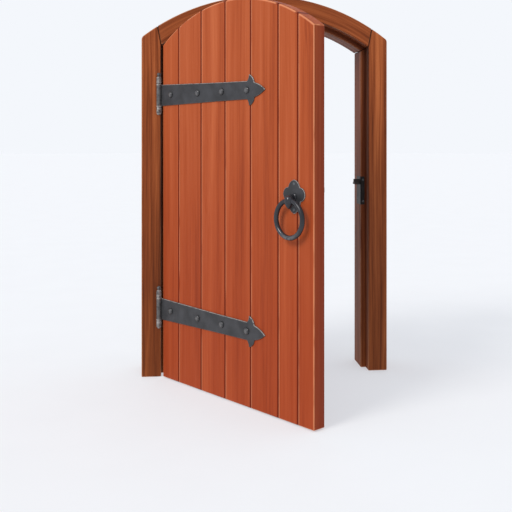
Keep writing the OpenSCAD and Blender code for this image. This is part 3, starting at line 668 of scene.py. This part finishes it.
def make_post(name, node, side, tone):
    """A rebated jamb, drawn on the hinge side; side -1 turns it over to the latch side."""
    back = FRAME_D - HAIR
    bm = blank()
    tip = on_joint(HEAD_R)
    reach = math.atan2(tip[1] - ARCH_Z, -tip[0]), math.atan2(math.sqrt(HEAD_R**2 - HALF_W**2), HALF_W)
    crown = [(-HEAD_R * math.cos(a), ARCH_Z + HEAD_R * math.sin(a))
             for a in (reach[0] + (reach[1] - reach[0]) * k / 10 for k in range(11))]
    outer = [(-HALF_W, 0.0)] + crown[::-1]
    spring, foot = (-REBATE_HALF, SPRING_Z), (-REBATE_HALF, 0.0)
    stop_top, stop_foot = (-STOP_HALF, STOP_SPRING_Z), (-STOP_HALF, 0.0)

    def point(xz, y):
        return bm.verts.new((side * xz[0], y, xz[1]))

    front = [point(p, 0) for p in outer]
    rear = [point(p, back) for p in outer]
    spring_y = [point(spring, y) for y in (0, REBATE_D, back)]
    foot_y = [point(foot, y) for y in (0, REBATE_D)]
    top_y = [point(stop_top, y) for y in (REBATE_D, back)]
    low_y = [point(stop_foot, y) for y in (REBATE_D, back)]
    bm.faces.new(front + [spring_y[0], foot_y[0]])
    bm.faces.new(rear[::-1] + [low_y[1], top_y[1], spring_y[2]])
    for k in range(len(outer) - 1):
        bm.faces.new((front[k], rear[k], rear[k + 1], front[k + 1]))
    bm.faces.new((foot_y[0], spring_y[0], spring_y[1], foot_y[1]))
    bm.faces.new((foot_y[1], spring_y[1], top_y[0], low_y[0]))
    bm.faces.new((low_y[0], top_y[0], top_y[1], low_y[1]))
    bm.faces.new((top_y[0], spring_y[1], spring_y[2], top_y[1]))
    bm.faces.new((front[-1], rear[-1], spring_y[2], spring_y[1], spring_y[0]))
    bm.faces.new((front[0], foot_y[0], foot_y[1], low_y[0], low_y[1], rear[0]))

    def width(one, other):
        outside = max(abs(one.x), abs(other.x)) > HALF_W - 1
        if outside and min(one.z, other.z) > 1000 and abs(one.y - other.y) > 1:
            return 12.0
        if max(one.z, other.z) < 1:
            return 5.0
        if abs(one.x - other.x) < 1 and abs(abs(one.x) - REBATE_HALF) < 1 and one.y > 1:
            return 0.0
        return 5.0

    bm = round_over(bm, width)
    unworn_joints(bm)
    finish(bm, name, FRAME_STAIN, "frame", [node], IN_FRAME,
           grain=lambda p: p, tone=tone, seam_and_shade=frame_joints_and_shade)


def make_head():
    """The arched head: its rebated section follows the arch, and its ends lean with the joints."""
    back = FRAME_D - HAIR
    section = [
        (HEAD_R, 0), (HEAD_R, back), (STOP_R, back), (STOP_R, REBATE_D), (ARCH_R, REBATE_D), (ARCH_R, 0),
    ]
    ends = {}
    for radius in (HEAD_R, ARCH_R):
        x, z = on_joint(radius)
        ends[radius] = math.atan2(-x, z - ARCH_Z)
    ends[STOP_R] = math.atan2(STOP_HALF, STOP_SPRING_Z - ARCH_Z)
    count = 48
    rings = []
    for k in range(count + 1):
        share = 2 * k / count - 1
        rings.append([
            (radius * math.sin(share * ends[radius]), y, ARCH_Z + radius * math.cos(share * ends[radius]))
            for radius, y in section
        ])
    bm = blank()
    loft(bm, rings)

    def width(one, other):
        reach = [math.hypot(p.x, p.z - ARCH_Z) for p in (one, other)]
        if max(abs(r - ARCH_R) for r in reach) < 1 and min(one.y, other.y) > 1:
            return 0.0
        return 5.0

    bm = round_over(bm, width)
    unworn_joints(bm)

    def along(p):
        turn = math.atan2(p.x, p.z - ARCH_Z)
        return (math.hypot(p.x, p.z - ARCH_Z), p.y, ARCH_R * turn)

    finish(bm, "head_arch", FRAME_STAIN, "frame", ["arched_head"], IN_FRAME,
           grain=along, tone=0.25, seam_and_shade=frame_joints_and_shade)


make_post("post_hinge", "hinge_jamb", 1, -0.1)
# Painted light: the latch jamb is given a lighter tone to offset the leaf's shadow on it.
make_post("post_latch", "latch_jamb", -1, 0.9)
make_head()


# ---------------------------------------------------------------- strap hinges

def strap_outline():
    """A strap from the leaf's edge to its point: tapered, with two horns and a leaf-shaped end."""
    root, neck, length, span = 54.0, 39.0, 778.0, 70.0
    taper, point_len, gap, fall_w, fall_h = root - neck, 104.0, 3.0, 7.5, 43.0
    horn_x = length - point_len
    sweep_r = span - neck + 6
    sweep = (horn_x - gap - sweep_r, span)
    fall = (horn_x - gap - fall_w, span - fall_h)
    fall_r = math.hypot(fall_w, fall_h)
    tip_half = 2 * neck * 0.47
    tip_r = ((length - horn_x) ** 2 + tip_half**2) / (2 * tip_half)

    def blade(x):
        return math.sqrt(tip_r**2 - (x - horn_x) ** 2) - (tip_r - tip_half)

    half = [(x, root - taper * x / horn_x) for x in (0.0, 210.0, 430.0)]
    half += [p for p in arc(*sweep, sweep_r, -90, 0, 14)
             if p[0] > 640 and p[1] > root - taper * p[0] / horn_x]
    for x, z in arc(*fall, fall_r, math.degrees(math.atan2(fall_h, fall_w)) - 6, -30, 18):
        if x > horn_x and z < blade(x):
            break
        half.append((x, z))
    start = half[-1][0] + 1.5
    half += [(start + (length - start) * k / 12, blade(start + (length - start) * k / 12)) for k in range(12)]
    return half + [(length, 0.0)] + [(x, -z) for x, z in reversed(half)]


def make_strap(which):
    z = STRAP_Z[which]
    bm = blank()
    plate(bm, [(x - LEAF_HALF, z + dz) for x, dz in strap_outline()], 0.0, -STRAP_T, 3.0)
    wear_and_highlight = bm.verts.layers.float["wear_and_highlight"]
    # Painted highlight and shade: the upper edges keep their light, the lower edges are kept dark.
    for vert in bm.verts:
        if vert.co.z < z:
            vert[wear_and_highlight] *= 0.15
    block(bm, (HINGE_X, -STRAP_T, z - KNUCKLE_H / 2), (-LEAF_HALF + 3, -2.0, z + KNUCKLE_H / 2), 0.6)
    half = KNUCKLE_H / 2
    turned(bm, [
        (EYE_R - 4, -half), (EYE_R - 2.2, -half), (EYE_R - 0.6, -half + 0.6), (EYE_R, -half + 2.2),
        (EYE_R, half - 2.2), (EYE_R - 0.6, half - 0.6), (EYE_R - 2.2, half), (EYE_R - 4, half),
    ], (HINGE_X, HINGE_Y, z), (0, 0, 1), 40, [0, 0.5, 1, 0.2, 0.2, 1, 0.5, 0])
    finish(bm, f"strap_{which}", BLACK_IRON, "leaf", [f"{which}_strap"], ON_LEAF)


def make_fixed_eye(which, end):
    """A fixed eye on the jamb, with a bead beside the strap and a shank into the wood."""
    way = 1 if end == "top" else -1
    foot = STRAP_Z[which] + way * (KNUCKLE_H / 2 + KNUCKLE_GAP)
    bm = blank()
    turned(bm, [
        (EYE_R - 4, 0), (EYE_R - 1.4, 0), (EYE_R - 0.4, 0.8), (EYE_R + 0.9, 2.0), (EYE_R + 1.4, 3.5),
        (EYE_R + 0.9, 5.0), (EYE_R - 0.6, 6.6), (EYE_R - 1.6, 8.0), (EYE_R - 0.8, 9.6), (EYE_R, 11.0),
        (EYE_R, EYE_H - 5), (EYE_R - 0.6, EYE_H - 2.4), (EYE_R - 2.2, EYE_H - 0.6), (EYE_R - 4, EYE_H),
    ], (HINGE_X, HINGE_Y, foot), (0, 0, way), 40,
        [0, 0, 0.3, 0.8, 1, 0.8, 0.2, 0, 0.2, 0.7, 0.3, 0.9, 0.7, 0])
    turned(bm, [(6, 0), (6, 90), (5, 95)], (HINGE_X - 5, HINGE_Y, foot + way * EYE_H / 2), (0, 1, 0), 20)
    finish(bm, f"eye_{which}_{end}", BLACK_IRON, "frame",
           [f"{which}_hinge_{end}_eye"], IN_FRAME)


def make_pin(which):
    """A hinge pin with a collar and a ball on top, and a button below."""
    z = STRAP_Z[which]
    top = z + KNUCKLE_H / 2 + KNUCKLE_GAP + EYE_H
    low = z - KNUCKLE_H / 2 - KNUCKLE_GAP - EYE_H
    ball = 9.5
    head = [(8.2, 0), (9.2, 0.7), (8.6, 1.8), (6.6, 2.8)]
    head += [
        (ball * math.cos(math.radians(a)), 3 + ball + ball * math.sin(math.radians(a))) for a in range(-50, 90, 14)
    ]
    head.append((0.0, 3 + 2 * ball))
    bm = blank()
    turned(bm, [(6, 0)] + head, (HINGE_X, HINGE_Y, top), (0, 0, 1), 32,
           [0, 0, 1, 0.4, 0] + [0.15] * (len(head) - 4))
    turned(bm, [(6, 0), (8.6, 0), (9.0, 0.8), (7.6, 4.2), (5.0, 5.6), (0, 6)],
           (HINGE_X, HINGE_Y, low), (0, 0, -1), 32, [0, 0.5, 1, 0.3, 0.3, 0.3])
    turned(bm, [(5.6, -low), (5.6, -top)], (HINGE_X, HINGE_Y, 0), (0, 0, -1), 24)
    finish(bm, f"pin_{which}", BLACK_IRON, "frame", [f"{which}_hinge_pin"], IN_FRAME)


for which in ("upper", "lower"):
    make_strap(which)
    make_fixed_eye(which, "top")
    make_fixed_eye(which, "bottom")
    make_pin(which)


# ---------------------------------------------------------------- the ring latch

def star(shapes, count):
    """The outline of shapes that all reach out from [0, 0]; each gives its reach along a direction."""
    points = []
    for k in range(count):
        a = math.tau * k / count
        way = Vector((math.cos(a), math.sin(a)))
        reach = max(shape(way) for shape in shapes)
        points.append((way.x * reach, way.y * reach))
    return points


def disc(x, z, r):
    def reach(way):
        along = way.x * x + way.y * z
        inside = along**2 - (x * x + z * z - r * r)
        return along + math.sqrt(inside) if inside > 0 else 0.0
    return reach


def spear(foot, height, half_w, turn):
    """A pointed leaf standing on a base foot away from the middle, up or down."""
    r = (height**2 + half_w**2) / (2 * half_w)

    def reach(way):
        far = 0.0
        for side in (1, -1):
            x, z = side * (half_w - r), turn * foot
            along = way.x * x + way.y * z
            inside = along**2 - (x * x + z * z - r * r)
            far = min(far or 1e9, along + math.sqrt(inside)) if inside > 0 else 0.0
        return far if way.y * turn * far > foot else 0.0
    return reach


def make_backplate():
    outline = star([
        disc(0, 0, 44), disc(36, 10, 30), disc(-36, 10, 30), spear(31, 42, 36, 1), spear(20, 53, 38, -1),
    ], 180)
    bm = blank()
    plate(bm, [(x + LOCK_X, z + LOCK_Z) for x, z in outline], 0.0, -5.0, 2.0)
    finish(bm, "latch_backplate", BLACK_IRON, "leaf", ["ring_backplate"], ON_LEAF)


def fuse(bm, voxel, rounds):
    """Welds the overlapping solids of a shape into one skin and softens its joints."""
    bmesh.ops.recalc_face_normals(bm, faces=bm.faces)
    mesh = as_mesh(bm, "blank")
    holder = put("blank", mesh)
    weld = holder.modifiers.new("weld", "REMESH")
    weld.mode = "VOXEL"
    weld.voxel_size = voxel
    soften = holder.modifiers.new("soften", "SMOOTH")
    soften.factor = 0.6
    soften.iterations = rounds
    out = bmesh.new()
    out.from_mesh(baked_mesh(holder))
    for layer in ("wear_and_highlight", "seam_and_shade"):
        if layer not in out.verts.layers.float:
            out.verts.layers.float.new(layer)
    for face in out.faces:
        face.smooth = True
    return out


def make_spindle():
    """The drop-shaped boss that holds the ring, forged in one with its neck and collar."""
    bm = blank()
    foot = (LOCK_X, -BULB_REACH, HOLE_Z)
    turned(bm, [
        (0, 22.0), (7, 21.4), (13.5, 18.8), (18.2, 13.8), (20.8, 6.5), (21.2, -1.0), (20.2, -9.5),
        (17.2, -17.5), (13.0, -24.5), (8.2, -30.5), (4.0, -34.6), (1.5, -36.4), (0, -37),
    ], foot, (0, 0, 1), 40)
    turned(bm, [(12.5, 0), (12, 12), (12.8, 22), (15, 25)], (LOCK_X, -BULB_REACH, LOCK_Z - 1), (0, 1, 0), 40)
    turned(bm, [(15.4, 0), (16.4, 0.8), (16.4, 3.2), (15.8, 3.6)], (LOCK_X, -9.0, LOCK_Z), (0, 1, 0), 40)
    bm = fuse(bm, 1.1, 6)
    turned(bm, [(8, -9), (8, LEDGE_BACK + 3.6)], (LOCK_X, 0, LOCK_Z), (0, 1, 0), 24)
    block(bm, (LOCK_X - 5, LEDGE_BACK + 2, LOCK_Z - 5), (LOCK_X + 5, BAR_BACK, LOCK_Z + 5), 0.6)
    turned(bm, [(4.5, BAR_BACK - 1), (4.5, BAR_BACK + 9), (3.6, BAR_BACK + 10), (0, BAR_BACK + 10)],
           (LOCK_X, 0, LOCK_Z), (0, 1, 0), 24, [0, 0.5, 1, 0])
    finish(bm, "latch_boss", RING_IRON, "spindle", ["ring_spindle"], ON_LEAF)


def make_ring():
    """The ring: a drawn bar, a little thinner where it runs in the boss."""
    bm = blank()
    wear_and_highlight = bm.verts.layers.float["wear_and_highlight"]
    turns, sides = 120, 24
    loops = []
    for k in range(turns):
        a = math.tau * k / turns
        out = Vector((math.sin(a), 0, math.cos(a)))
        bar = 10.8 - 0.8 * max(0.0, math.cos(a)) ** 6
        middle = Vector((LOCK_X, -BULB_REACH, HOLE_Z - RING_R)) + out * (RING_R + 0.2)
        loop = []
        for j in range(sides):
            b = math.tau * j / sides
            loop.append(bm.verts.new(middle + bar * (math.cos(b) * out + math.sin(b) * Vector((0, -1, 0)))))
            loop[-1][wear_and_highlight] = 0.35 * max(0.0, -math.cos(a)) ** 3 * max(0.0, math.sin(b)) ** 2
        loops.append(loop)
    for k in range(turns):
        here, after = loops[k], loops[(k + 1) % turns]
        for j in range(sides):
            beside = (j + 1) % sides
            bm.faces.new((here[j], after[j], after[beside], here[beside])).smooth = True
    finish(bm, "pull_ring", RING_IRON, "ring", ["ring_handle"], ON_LEAF)


def oblong(x0, z0, x1, z1):
    return [(x0, z0), (x1, z0), (x1, z1), (x0, z1)]


def make_latch():
    """The latch behind the leaf: rear plate, lifter, bar on its pivot, and the guide that it runs in."""
    bm = blank()
    plate(bm, oblong(LOCK_X - 22, LOCK_Z - 44, LOCK_X + 22, LOCK_Z + 22),
          LEDGE_BACK - 1, LEDGE_BACK + 3, 1.2)
    finish(bm, "latch_rear_plate", BLACK_IRON, "leaf", ["rear_plate"], ON_LEAF)

    bm = blank()
    legs = (BAR_BOTTOM - 8.4, BAR_TOP + 29)
    for z in legs:
        block(bm, (GUIDE_X, LEDGE_BACK - 20, z), (GUIDE_X + 8, BAR_BACK + 4, z + 8), 1.0)
    block(bm, (GUIDE_X, BAR_BACK + 2, legs[0]), (GUIDE_X + 8, BAR_BACK + 8, legs[1] + 8), 1.2)
    finish(bm, "latch_staple", BLACK_IRON, "leaf", ["latch_guide"], ON_LEAF)

    bm = blank()
    foot = (BAR_PIVOT_X, 0, BAR_MID)
    turned(bm, [(6, LEDGE_BACK - 20), (6, BAR_BACK + 2)], foot, (0, 1, 0), 24)
    turned(bm, [(11, LEDGE_BACK - 1), (11, BAR_FRONT - 0.8), (10.4, BAR_FRONT - 0.3)], foot, (0, 1, 0), 32)
    button = ((9.4, 0.3), (10, 0.9), (9.6, 3), (7, 4.4), (0, 5))
    turned(bm, [(radius, BAR_BACK + height) for radius, height in button],
           foot, (0, 1, 0), 32, [0, 0.5, 1, 0.4, 0.2])
    finish(bm, "latch_pivot_pin", BLACK_IRON, "leaf", ["latch_pivot"], ON_LEAF)

    bm = blank()
    rest = math.radians(180 - 14)
    way, up = Vector((math.cos(rest), math.sin(rest))), Vector((-math.sin(rest), math.cos(rest)))
    lifted = []
    for x, z in star([disc(0, 0, 11)], 40):
        along, across = x * way.x + z * way.y, x * up.x + z * up.y
        if along > 8 and abs(across) < 7:
            continue
        lifted.append((math.atan2(across, along), (along, across)))
    lifted = [p for _, p in sorted(lifted)]
    nose = [(30 + 6 * math.cos(math.radians(a)), 6 * math.sin(math.radians(a))) for a in range(-130, 131, 20)]
    lifted = [p for p in lifted if p[1] > 0] + [p for p in lifted if p[1] <= 0]
    loop = nose + [(10.0, 4.5)] + [p for p in lifted if p[0] < 9.6] + [(10.0, -4.5)]
    outline = [(LOCK_X + a * way.x + c * up.x, LOCK_Z + a * way.y + c * up.y) for a, c in loop]
    plate(bm, outline, BAR_FRONT, BAR_BACK, 0.8)
    finish(bm, "latch_lift_arm", BLACK_IRON, "spindle", ["latch_lifter"], ON_LEAF)

    bm = blank()
    boss = arc(BAR_PIVOT_X, BAR_MID, 18, 51, 309, 26)
    bar = [
        (BAR_PIVOT_X + 60, BAR_BOTTOM), (BAR_END - 4, BAR_BOTTOM), (BAR_END, BAR_BOTTOM + 4),
        (BAR_END, BAR_TOP - 4), (BAR_END - 4, BAR_TOP), (BAR_PIVOT_X + 60, BAR_TOP),
    ]
    plate(bm, bar + boss, BAR_FRONT, BAR_BACK, 1.2, 0.8)
    finish(bm, "latch_bar_iron", BLACK_IRON, "latch", ["latch_bar"], ON_LEAF)


def make_keeper():
    """The keeper on the latch jamb: a plate on the stop, a leg round its corner, and the notched nose."""
    bm = blank()
    plate(bm, oblong(STOP_HALF - HAIR, KEEPER_LOW, STOP_HALF + 22, KEEPER_TOP),
          REBATE_D + 3, REBATE_D - HAIR, 0.8)
    block(bm, (STOP_HALF - HAIR, REBATE_D - HAIR, KEEPER_LOW), (STOP_HALF + 4, REBATE_D + 95, KEEPER_TOP), 0.8)
    wall = BAR_FRONT - 1
    side = [
        (REBATE_D + 3, BAR_BOTTOM - 12), (BAR_BACK + 4, BAR_BOTTOM - 12), (BAR_BACK + 4, BAR_BOTTOM - 0.4),
        (wall, BAR_BOTTOM - 0.4), (wall, BAR_BOTTOM + 15), (wall - 7, BAR_BOTTOM + 15),
    ]
    rings = [[(x, y, z) for y, z in (inset(side, cut) if cut else side)]
             for x, cut in ((STOP_HALF - 32, 0.8), (STOP_HALF - 31.2, 0), (STOP_HALF + 2, 0))]
    loft(bm, rings, [1.0, 0.6, 0.2])
    finish(bm, "keeper_plate", KEEPER_IRON, "frame", ["latch_keeper"], IN_FRAME)


make_backplate()
make_spindle()
make_ring()
make_latch()
make_keeper()


# ---------------------------------------------------------------- bolts, nuts and screws

def fastening_tree():
    """Stands a copy of a fastener on every point, turned to the point's aim and rolled at random."""
    tree = bpy.data.node_groups.new("fastening", "GeometryNodeTree")
    tree.is_modifier = True
    for name, kind in (
        ("Geometry", "Geometry"), ("Fastener", "Object"), ("Width", "Float"), ("Height", "Float"),
        ("Roll", "Float"), ("Seed", "Int"), ("Finish", "Material"),
    ):
        tree.interface.new_socket(name, in_out="INPUT", socket_type="NodeSocket" + kind)
    tree.interface.new_socket("Geometry", in_out="OUTPUT", socket_type="NodeSocketGeometry")
    given = tree.nodes.new("NodeGroupInput").outputs
    aim = add(tree, "GeometryNodeInputNamedAttribute", {"Name": "aim"}, data_type="FLOAT_VECTOR").outputs[0]
    turn = add(tree, "FunctionNodeAlignRotationToVector", {"Vector": aim}, axis="Z").outputs[0]
    fastener = add(tree, "GeometryNodeObjectInfo", {"Object": given["Fastener"]}).outputs["Geometry"]
    size = add(tree, "ShaderNodeCombineXYZ", {
        0: given["Width"], 1: given["Width"], 2: given["Height"],
    }).outputs[0]
    stood = add(tree, "GeometryNodeInstanceOnPoints", {
        "Points": given["Geometry"], "Instance": fastener, "Rotation": turn, "Scale": size,
    }).outputs[0]
    low = calc(tree, "MULTIPLY", given["Roll"], -1.0)
    roll = add(tree, "FunctionNodeRandomValue", {
        "Min": low, "Max": given["Roll"], "Seed": given["Seed"],
    }, data_type="FLOAT")
    about = add(tree, "ShaderNodeCombineXYZ", {2: next(s for s in roll.outputs if s.enabled)}).outputs[0]
    rolled = add(tree, "GeometryNodeRotateInstances", {"Instances": stood, "Rotation": about}).outputs[0]
    real = add(tree, "GeometryNodeRealizeInstances", {0: rolled}).outputs[0]
    done = add(tree, "GeometryNodeSetMaterial", {"Geometry": real, "Material": given["Finish"]}).outputs[0]
    tree.links.new(done, tree.nodes.new("NodeGroupOutput").inputs[0])
    return tree


FASTENING = fastening_tree()


def fastener(name, bm):
    """A fastener of unit width and height, standing on the origin along Z, to be copied."""
    bmesh.ops.recalc_face_normals(bm, faces=bm.faces)
    mesh = as_mesh(bm, name)
    return bpy.data.objects.new(name, mesh)


def dome():
    """A hammered dome head with a thin rim."""
    bm = blank()
    rim = 0.12
    steps = [
        (math.cos(math.radians(a)), rim + (1 - rim) * math.sin(math.radians(a)))
        for a in (12, 24, 36, 50, 64, 78)
    ]
    # The crown is lighter than the rim: rubbed wear and a painted highlight on top.
    turned(bm, [(1.0, 0.0), (1.0, 0.10)] + steps + [(0, 1.0)], (0, 0, 0), (0, 0, 1), 28,
           [0, 0, 0, 0.05, 0.1, 0.2, 0.3, 0.35, 0.4])
    return fastener("dome_head", bm)


def hexagon():
    bm = blank()
    turned(bm, [(1.0, 0.0), (1.0, 0.84), (0.93, 0.97), (0.6, 1.0)], (0, 0, 0), (0, 0, 1), 6, [0, 0.5, 1, 0])
    for face in bm.faces:
        face.smooth = False
    return fastener("hexagon_nut", bm)


def disc_washer():
    bm = blank()
    turned(bm, [(1.0, 0.0), (1.0, 0.7), (0.96, 1.0), (0.4, 1.0)], (0, 0, 0), (0, 0, 1), 32, [0, 0.6, 1, 0])
    return fastener("washer", bm)


def stub():
    bm = blank()
    turned(bm, [(1.0, 0.0), (1.0, 0.75), (0.8, 1.0), (0, 1.0)], (0, 0, 0), (0, 0, 1), 20, [0, 0.4, 1, 0.3])
    return fastener("bolt_tail", bm)


def slotted():
    """A flush screw head: a disc with a slot sunk across it, on a shank."""
    bm = blank()
    half, ring = 0.14, []
    angle = math.asin(half)
    for first, last in ((angle, math.pi - angle), (math.pi + angle, math.tau - angle)):
        angles = (first + (last - first) * k / 12 for k in range(13))
        ring.append([(math.cos(a), math.sin(a)) for a in angles])
    for side in ring:
        loft(bm, [[(x, y, z) for x, y in side] for z in (-1.0, 0.0)])
    floor = [(math.cos(a), math.sin(a)) for a in (math.tau * k / 28 for k in range(28))]
    loft(bm, [[(x, y, z) for x, y in floor] for z in (-1.0, -0.5)])
    return fastener("screw_head", bm)


def fasten(name, pattern, places, width, height, roll, finish_as, body, nodes, place, also=()):
    """Fits one kind of fastener at each place, (point, outward direction), and makes them one piece."""
    groups = [(pattern, places, width, height, roll)] + list(also)
    joined = bmesh.new()
    for seed, (kind, spots, wide, tall, spin) in enumerate(groups):
        mesh = bpy.data.meshes.new("spots")
        mesh.from_pydata([point for point, _ in spots], [], [])
        dress(mesh, "aim", [c for _, way in spots for c in way], "FLOAT_VECTOR")
        holder = put("spots", mesh)
        modifier = holder.modifiers.new("fastening", "NODES")
        modifier.node_group = FASTENING
        sockets = {item.name: item.identifier for item in FASTENING.interface.items_tree
                   if item.item_type == "SOCKET" and item.in_out == "INPUT"}
        for label, value in (("Fastener", kind), ("Width", wide), ("Height", tall), ("Roll", spin),
                             ("Seed", 3 + seed), ("Finish", finish_as)):
            modifier[sockets[label]] = value
        joined.from_mesh(baked_mesh(holder))
    finish(joined, name, finish_as, body, nodes, place)


OUT, IN = (0, -1, 0), (0, 1, 0)
DOME, NUT, WASHER, STUB, SLOTTED = dome(), hexagon(), disc_washer(), stub(), slotted()
strap_spots = [(x, z) for z in STRAP_Z.values() for x in BOLT_X]

BOLT_R, BOLT_H = 16.0, 9.0
NUT_R, NUT_H = 9.5, 8.0
ANY_ROLL = 3.1

fasten("strap_bolt_heads", DOME, [((x, -STRAP_T, z), OUT) for x, z in strap_spots], BOLT_R, BOLT_H, ANY_ROLL,
       BOLT_IRON, "leaf", ["strap_bolts"], ON_LEAF,
       also=[(STUB, [((x, LEDGE_BACK + 2, z), IN) for x, z in strap_spots], 5.0, 13.0, 0.0)])
fasten("strap_bolt_washers", WASHER, [((x, LEDGE_BACK - HAIR, z), IN) for x, z in strap_spots], 13.0, 3.3, 0.0,
       SCREW_STEEL, "leaf", ["strap_washers"], ON_LEAF)
fasten("strap_bolt_nuts", NUT, [((x, LEDGE_BACK + 3, z), IN) for x, z in strap_spots], NUT_R, NUT_H, 0.5,
       SCREW_STEEL, "leaf", ["strap_nuts"], ON_LEAF)
fasten("boss_nut", NUT, [((LOCK_X, BAR_BACK, LOCK_Z), IN)], NUT_R, NUT_H, 0.2,
       SCREW_STEEL, "spindle", ["spindle_nut"], ON_LEAF)


def screw(name, places, body, node, place):
    """Fits slotted screws, 12 mm across, at each place."""
    fasten(name, SLOTTED, places, 6.0, 3.0, ANY_ROLL, SCREW_STEEL, body, [node], place)


def ledge_spots():
    """Two rows of screws in turn along each ledge, one to a board, and three down each brace."""
    spots = []
    for z, step, end in (
        (STRAP_Z["upper"], 36, LEDGE_END), (LOCK_LEDGE_Z, 52, MIDDLE_LEDGE_END),
        (STRAP_Z["lower"], 36, LEDGE_END),
    ):
        for i in range(7):
            x = min((BOARD_X[i] + BOARD_X[i + 1]) / 2, end - 20)
            spots.append((x, z + step * (-1 if i % 2 == 0 else 1)))
    for low, high in ((STRAP_Z["lower"] + LEDGE_H / 2, LOCK_LEDGE_Z - LOCK_LEDGE_H / 2),
                      (LOCK_LEDGE_Z + LOCK_LEDGE_H / 2, STRAP_Z["upper"] - LEDGE_H / 2)):
        for t in (0.14, 0.5, 0.86):
            spots.append((BRACE_LOW_X + t * (BRACE_HIGH_X - BRACE_LOW_X), low + t * (high - low)))
    return spots


screw("ledge_screw_heads", [((x, LEDGE_BACK - 0.1, z), IN) for x, z in ledge_spots()],
      "leaf", "ledge_screws", ON_LEAF)
screw("backplate_pin_heads", [((LOCK_X, -5.1, LOCK_Z + z), OUT) for z in (-56, 56)],
      "leaf", "backplate_pins", ON_LEAF)
screw("rear_plate_screw_heads", [((LOCK_X + x, LEDGE_BACK + 3.1, LOCK_Z - 32), IN) for x in (-12, 12)],
      "leaf", "rear_plate_screws", ON_LEAF)
screw("keeper_screw_heads", [
    *(((STOP_HALF + 13, REBATE_D - HAIR - 0.1, z), OUT) for z in (KEEPER_LOW + 18, KEEPER_TOP - 18)),
    *(((STOP_HALF - HAIR - 0.1, REBATE_D + 83, z), (-1, 0, 0)) for z in (KEEPER_LOW + 30, KEEPER_TOP - 30)),
], "frame", "keeper_screws", IN_FRAME)


# ---------------------------------------------------------------- hidden joinery

def make_peg_ends():
    """The pegs of the head's tenons, whose ends show on the back of the frame."""
    bm = blank()
    half = HEAD_T / 2
    middle = Vector((-REBATE_HALF - math.sin(JOINT_LEAN) * half, 0, SPRING_Z + math.cos(JOINT_LEAN) * half))
    for side in (1, -1):
        for step in (-26, 26):
            x = side * (middle.x + step * math.cos(JOINT_LEAN))
            z = middle.z + step * math.sin(JOINT_LEAN)
            turned(bm, [(6, 0), (6, 129), (5.8, 129.3)], (x, FRAME_D - 129.3, z), (0, 1, 0), 24)
    finish(bm, "tenon_peg_ends", PEG_WOOD, "frame", ["tenon_pegs"], IN_FRAME,
           grain=lambda p: (p.x, p.z, p.y))


make_peg_ends()
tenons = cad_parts["head_tenons"]
tenons.data.materials.clear()
tenons.data.materials.append(PEG_WOOD)


# ---------------------------------------------------------------- studio

def make_studio():
    view = bpy.context.scene.view_settings
    view.view_transform = "Standard"
    floor_tone = bpy.data.materials.new("floor_paper")
    floor_tone.use_nodes = True
    tree = floor_tone.node_tree
    grainy = noise(tree, add(tree, "ShaderNodeTexCoord").outputs["Object"], 3.0, 2).outputs["Fac"]
    paper = ramp(tree, grainy, [(0.3, (0.435, 0.432, 0.425)), (0.7, (0.445, 0.442, 0.435))])
    inputs = tree.nodes["Principled BSDF"].inputs
    tree.links.new(paper, inputs["Base Color"])
    inputs["Roughness"].default_value = 0.9
    inputs["Emission Color"].default_value = linear("F3F6FC")
    inputs["Emission Strength"].default_value = 0.50
    inputs["Specular IOR Level"].default_value = 0.1
    bm = bmesh.new()
    bmesh.ops.create_circle(bm, cap_ends=True, segments=64, radius=60)
    mesh = as_mesh(bm, "floor")
    mesh.materials.append(floor_tone)
    floor = put("floor", mesh)

    backdrop_tone = bpy.data.materials.new("backdrop")
    backdrop_tone.use_nodes = True
    glow = backdrop_tone.node_tree
    glow.nodes.clear()
    light = add(glow, "ShaderNodeEmission", {"Color": linear("F4F7FC"), "Strength": 1.0})
    glow.links.new(light.outputs[0], add(glow, "ShaderNodeOutputMaterial").inputs[0])
    bm = bmesh.new()
    bmesh.ops.create_uvsphere(bm, u_segments=48, v_segments=24, radius=59)
    bmesh.ops.reverse_faces(bm, faces=bm.faces)
    mesh = as_mesh(bm, "backdrop")
    mesh.materials.append(backdrop_tone)
    backdrop = put("backdrop", mesh)
    backdrop.visible_diffuse = backdrop.visible_glossy = False
    backdrop.visible_transmission = backdrop.visible_shadow = False

    world = bpy.data.worlds.new("sky")
    bpy.context.scene.world = world
    world.use_nodes = True
    sky = world.node_tree.nodes["Background"]
    sky.inputs["Color"].default_value = linear("EEF3FC")
    sky.inputs["Strength"].default_value = 0.83

    sun = bpy.data.lights.new("key", "SUN")
    sun.energy = 1.65
    sun.angle = math.radians(22)
    sun.color = (1.0, 0.98, 0.95)
    key = put("key", sun)
    key.rotation_euler = Vector((-0.66, -0.5, 0.66)).to_track_quat("Z", "Y").to_euler()


make_studio()

for spare in (DOME, NUT, WASHER, STUB, SLOTTED):
    bpy.data.objects.remove(spare)
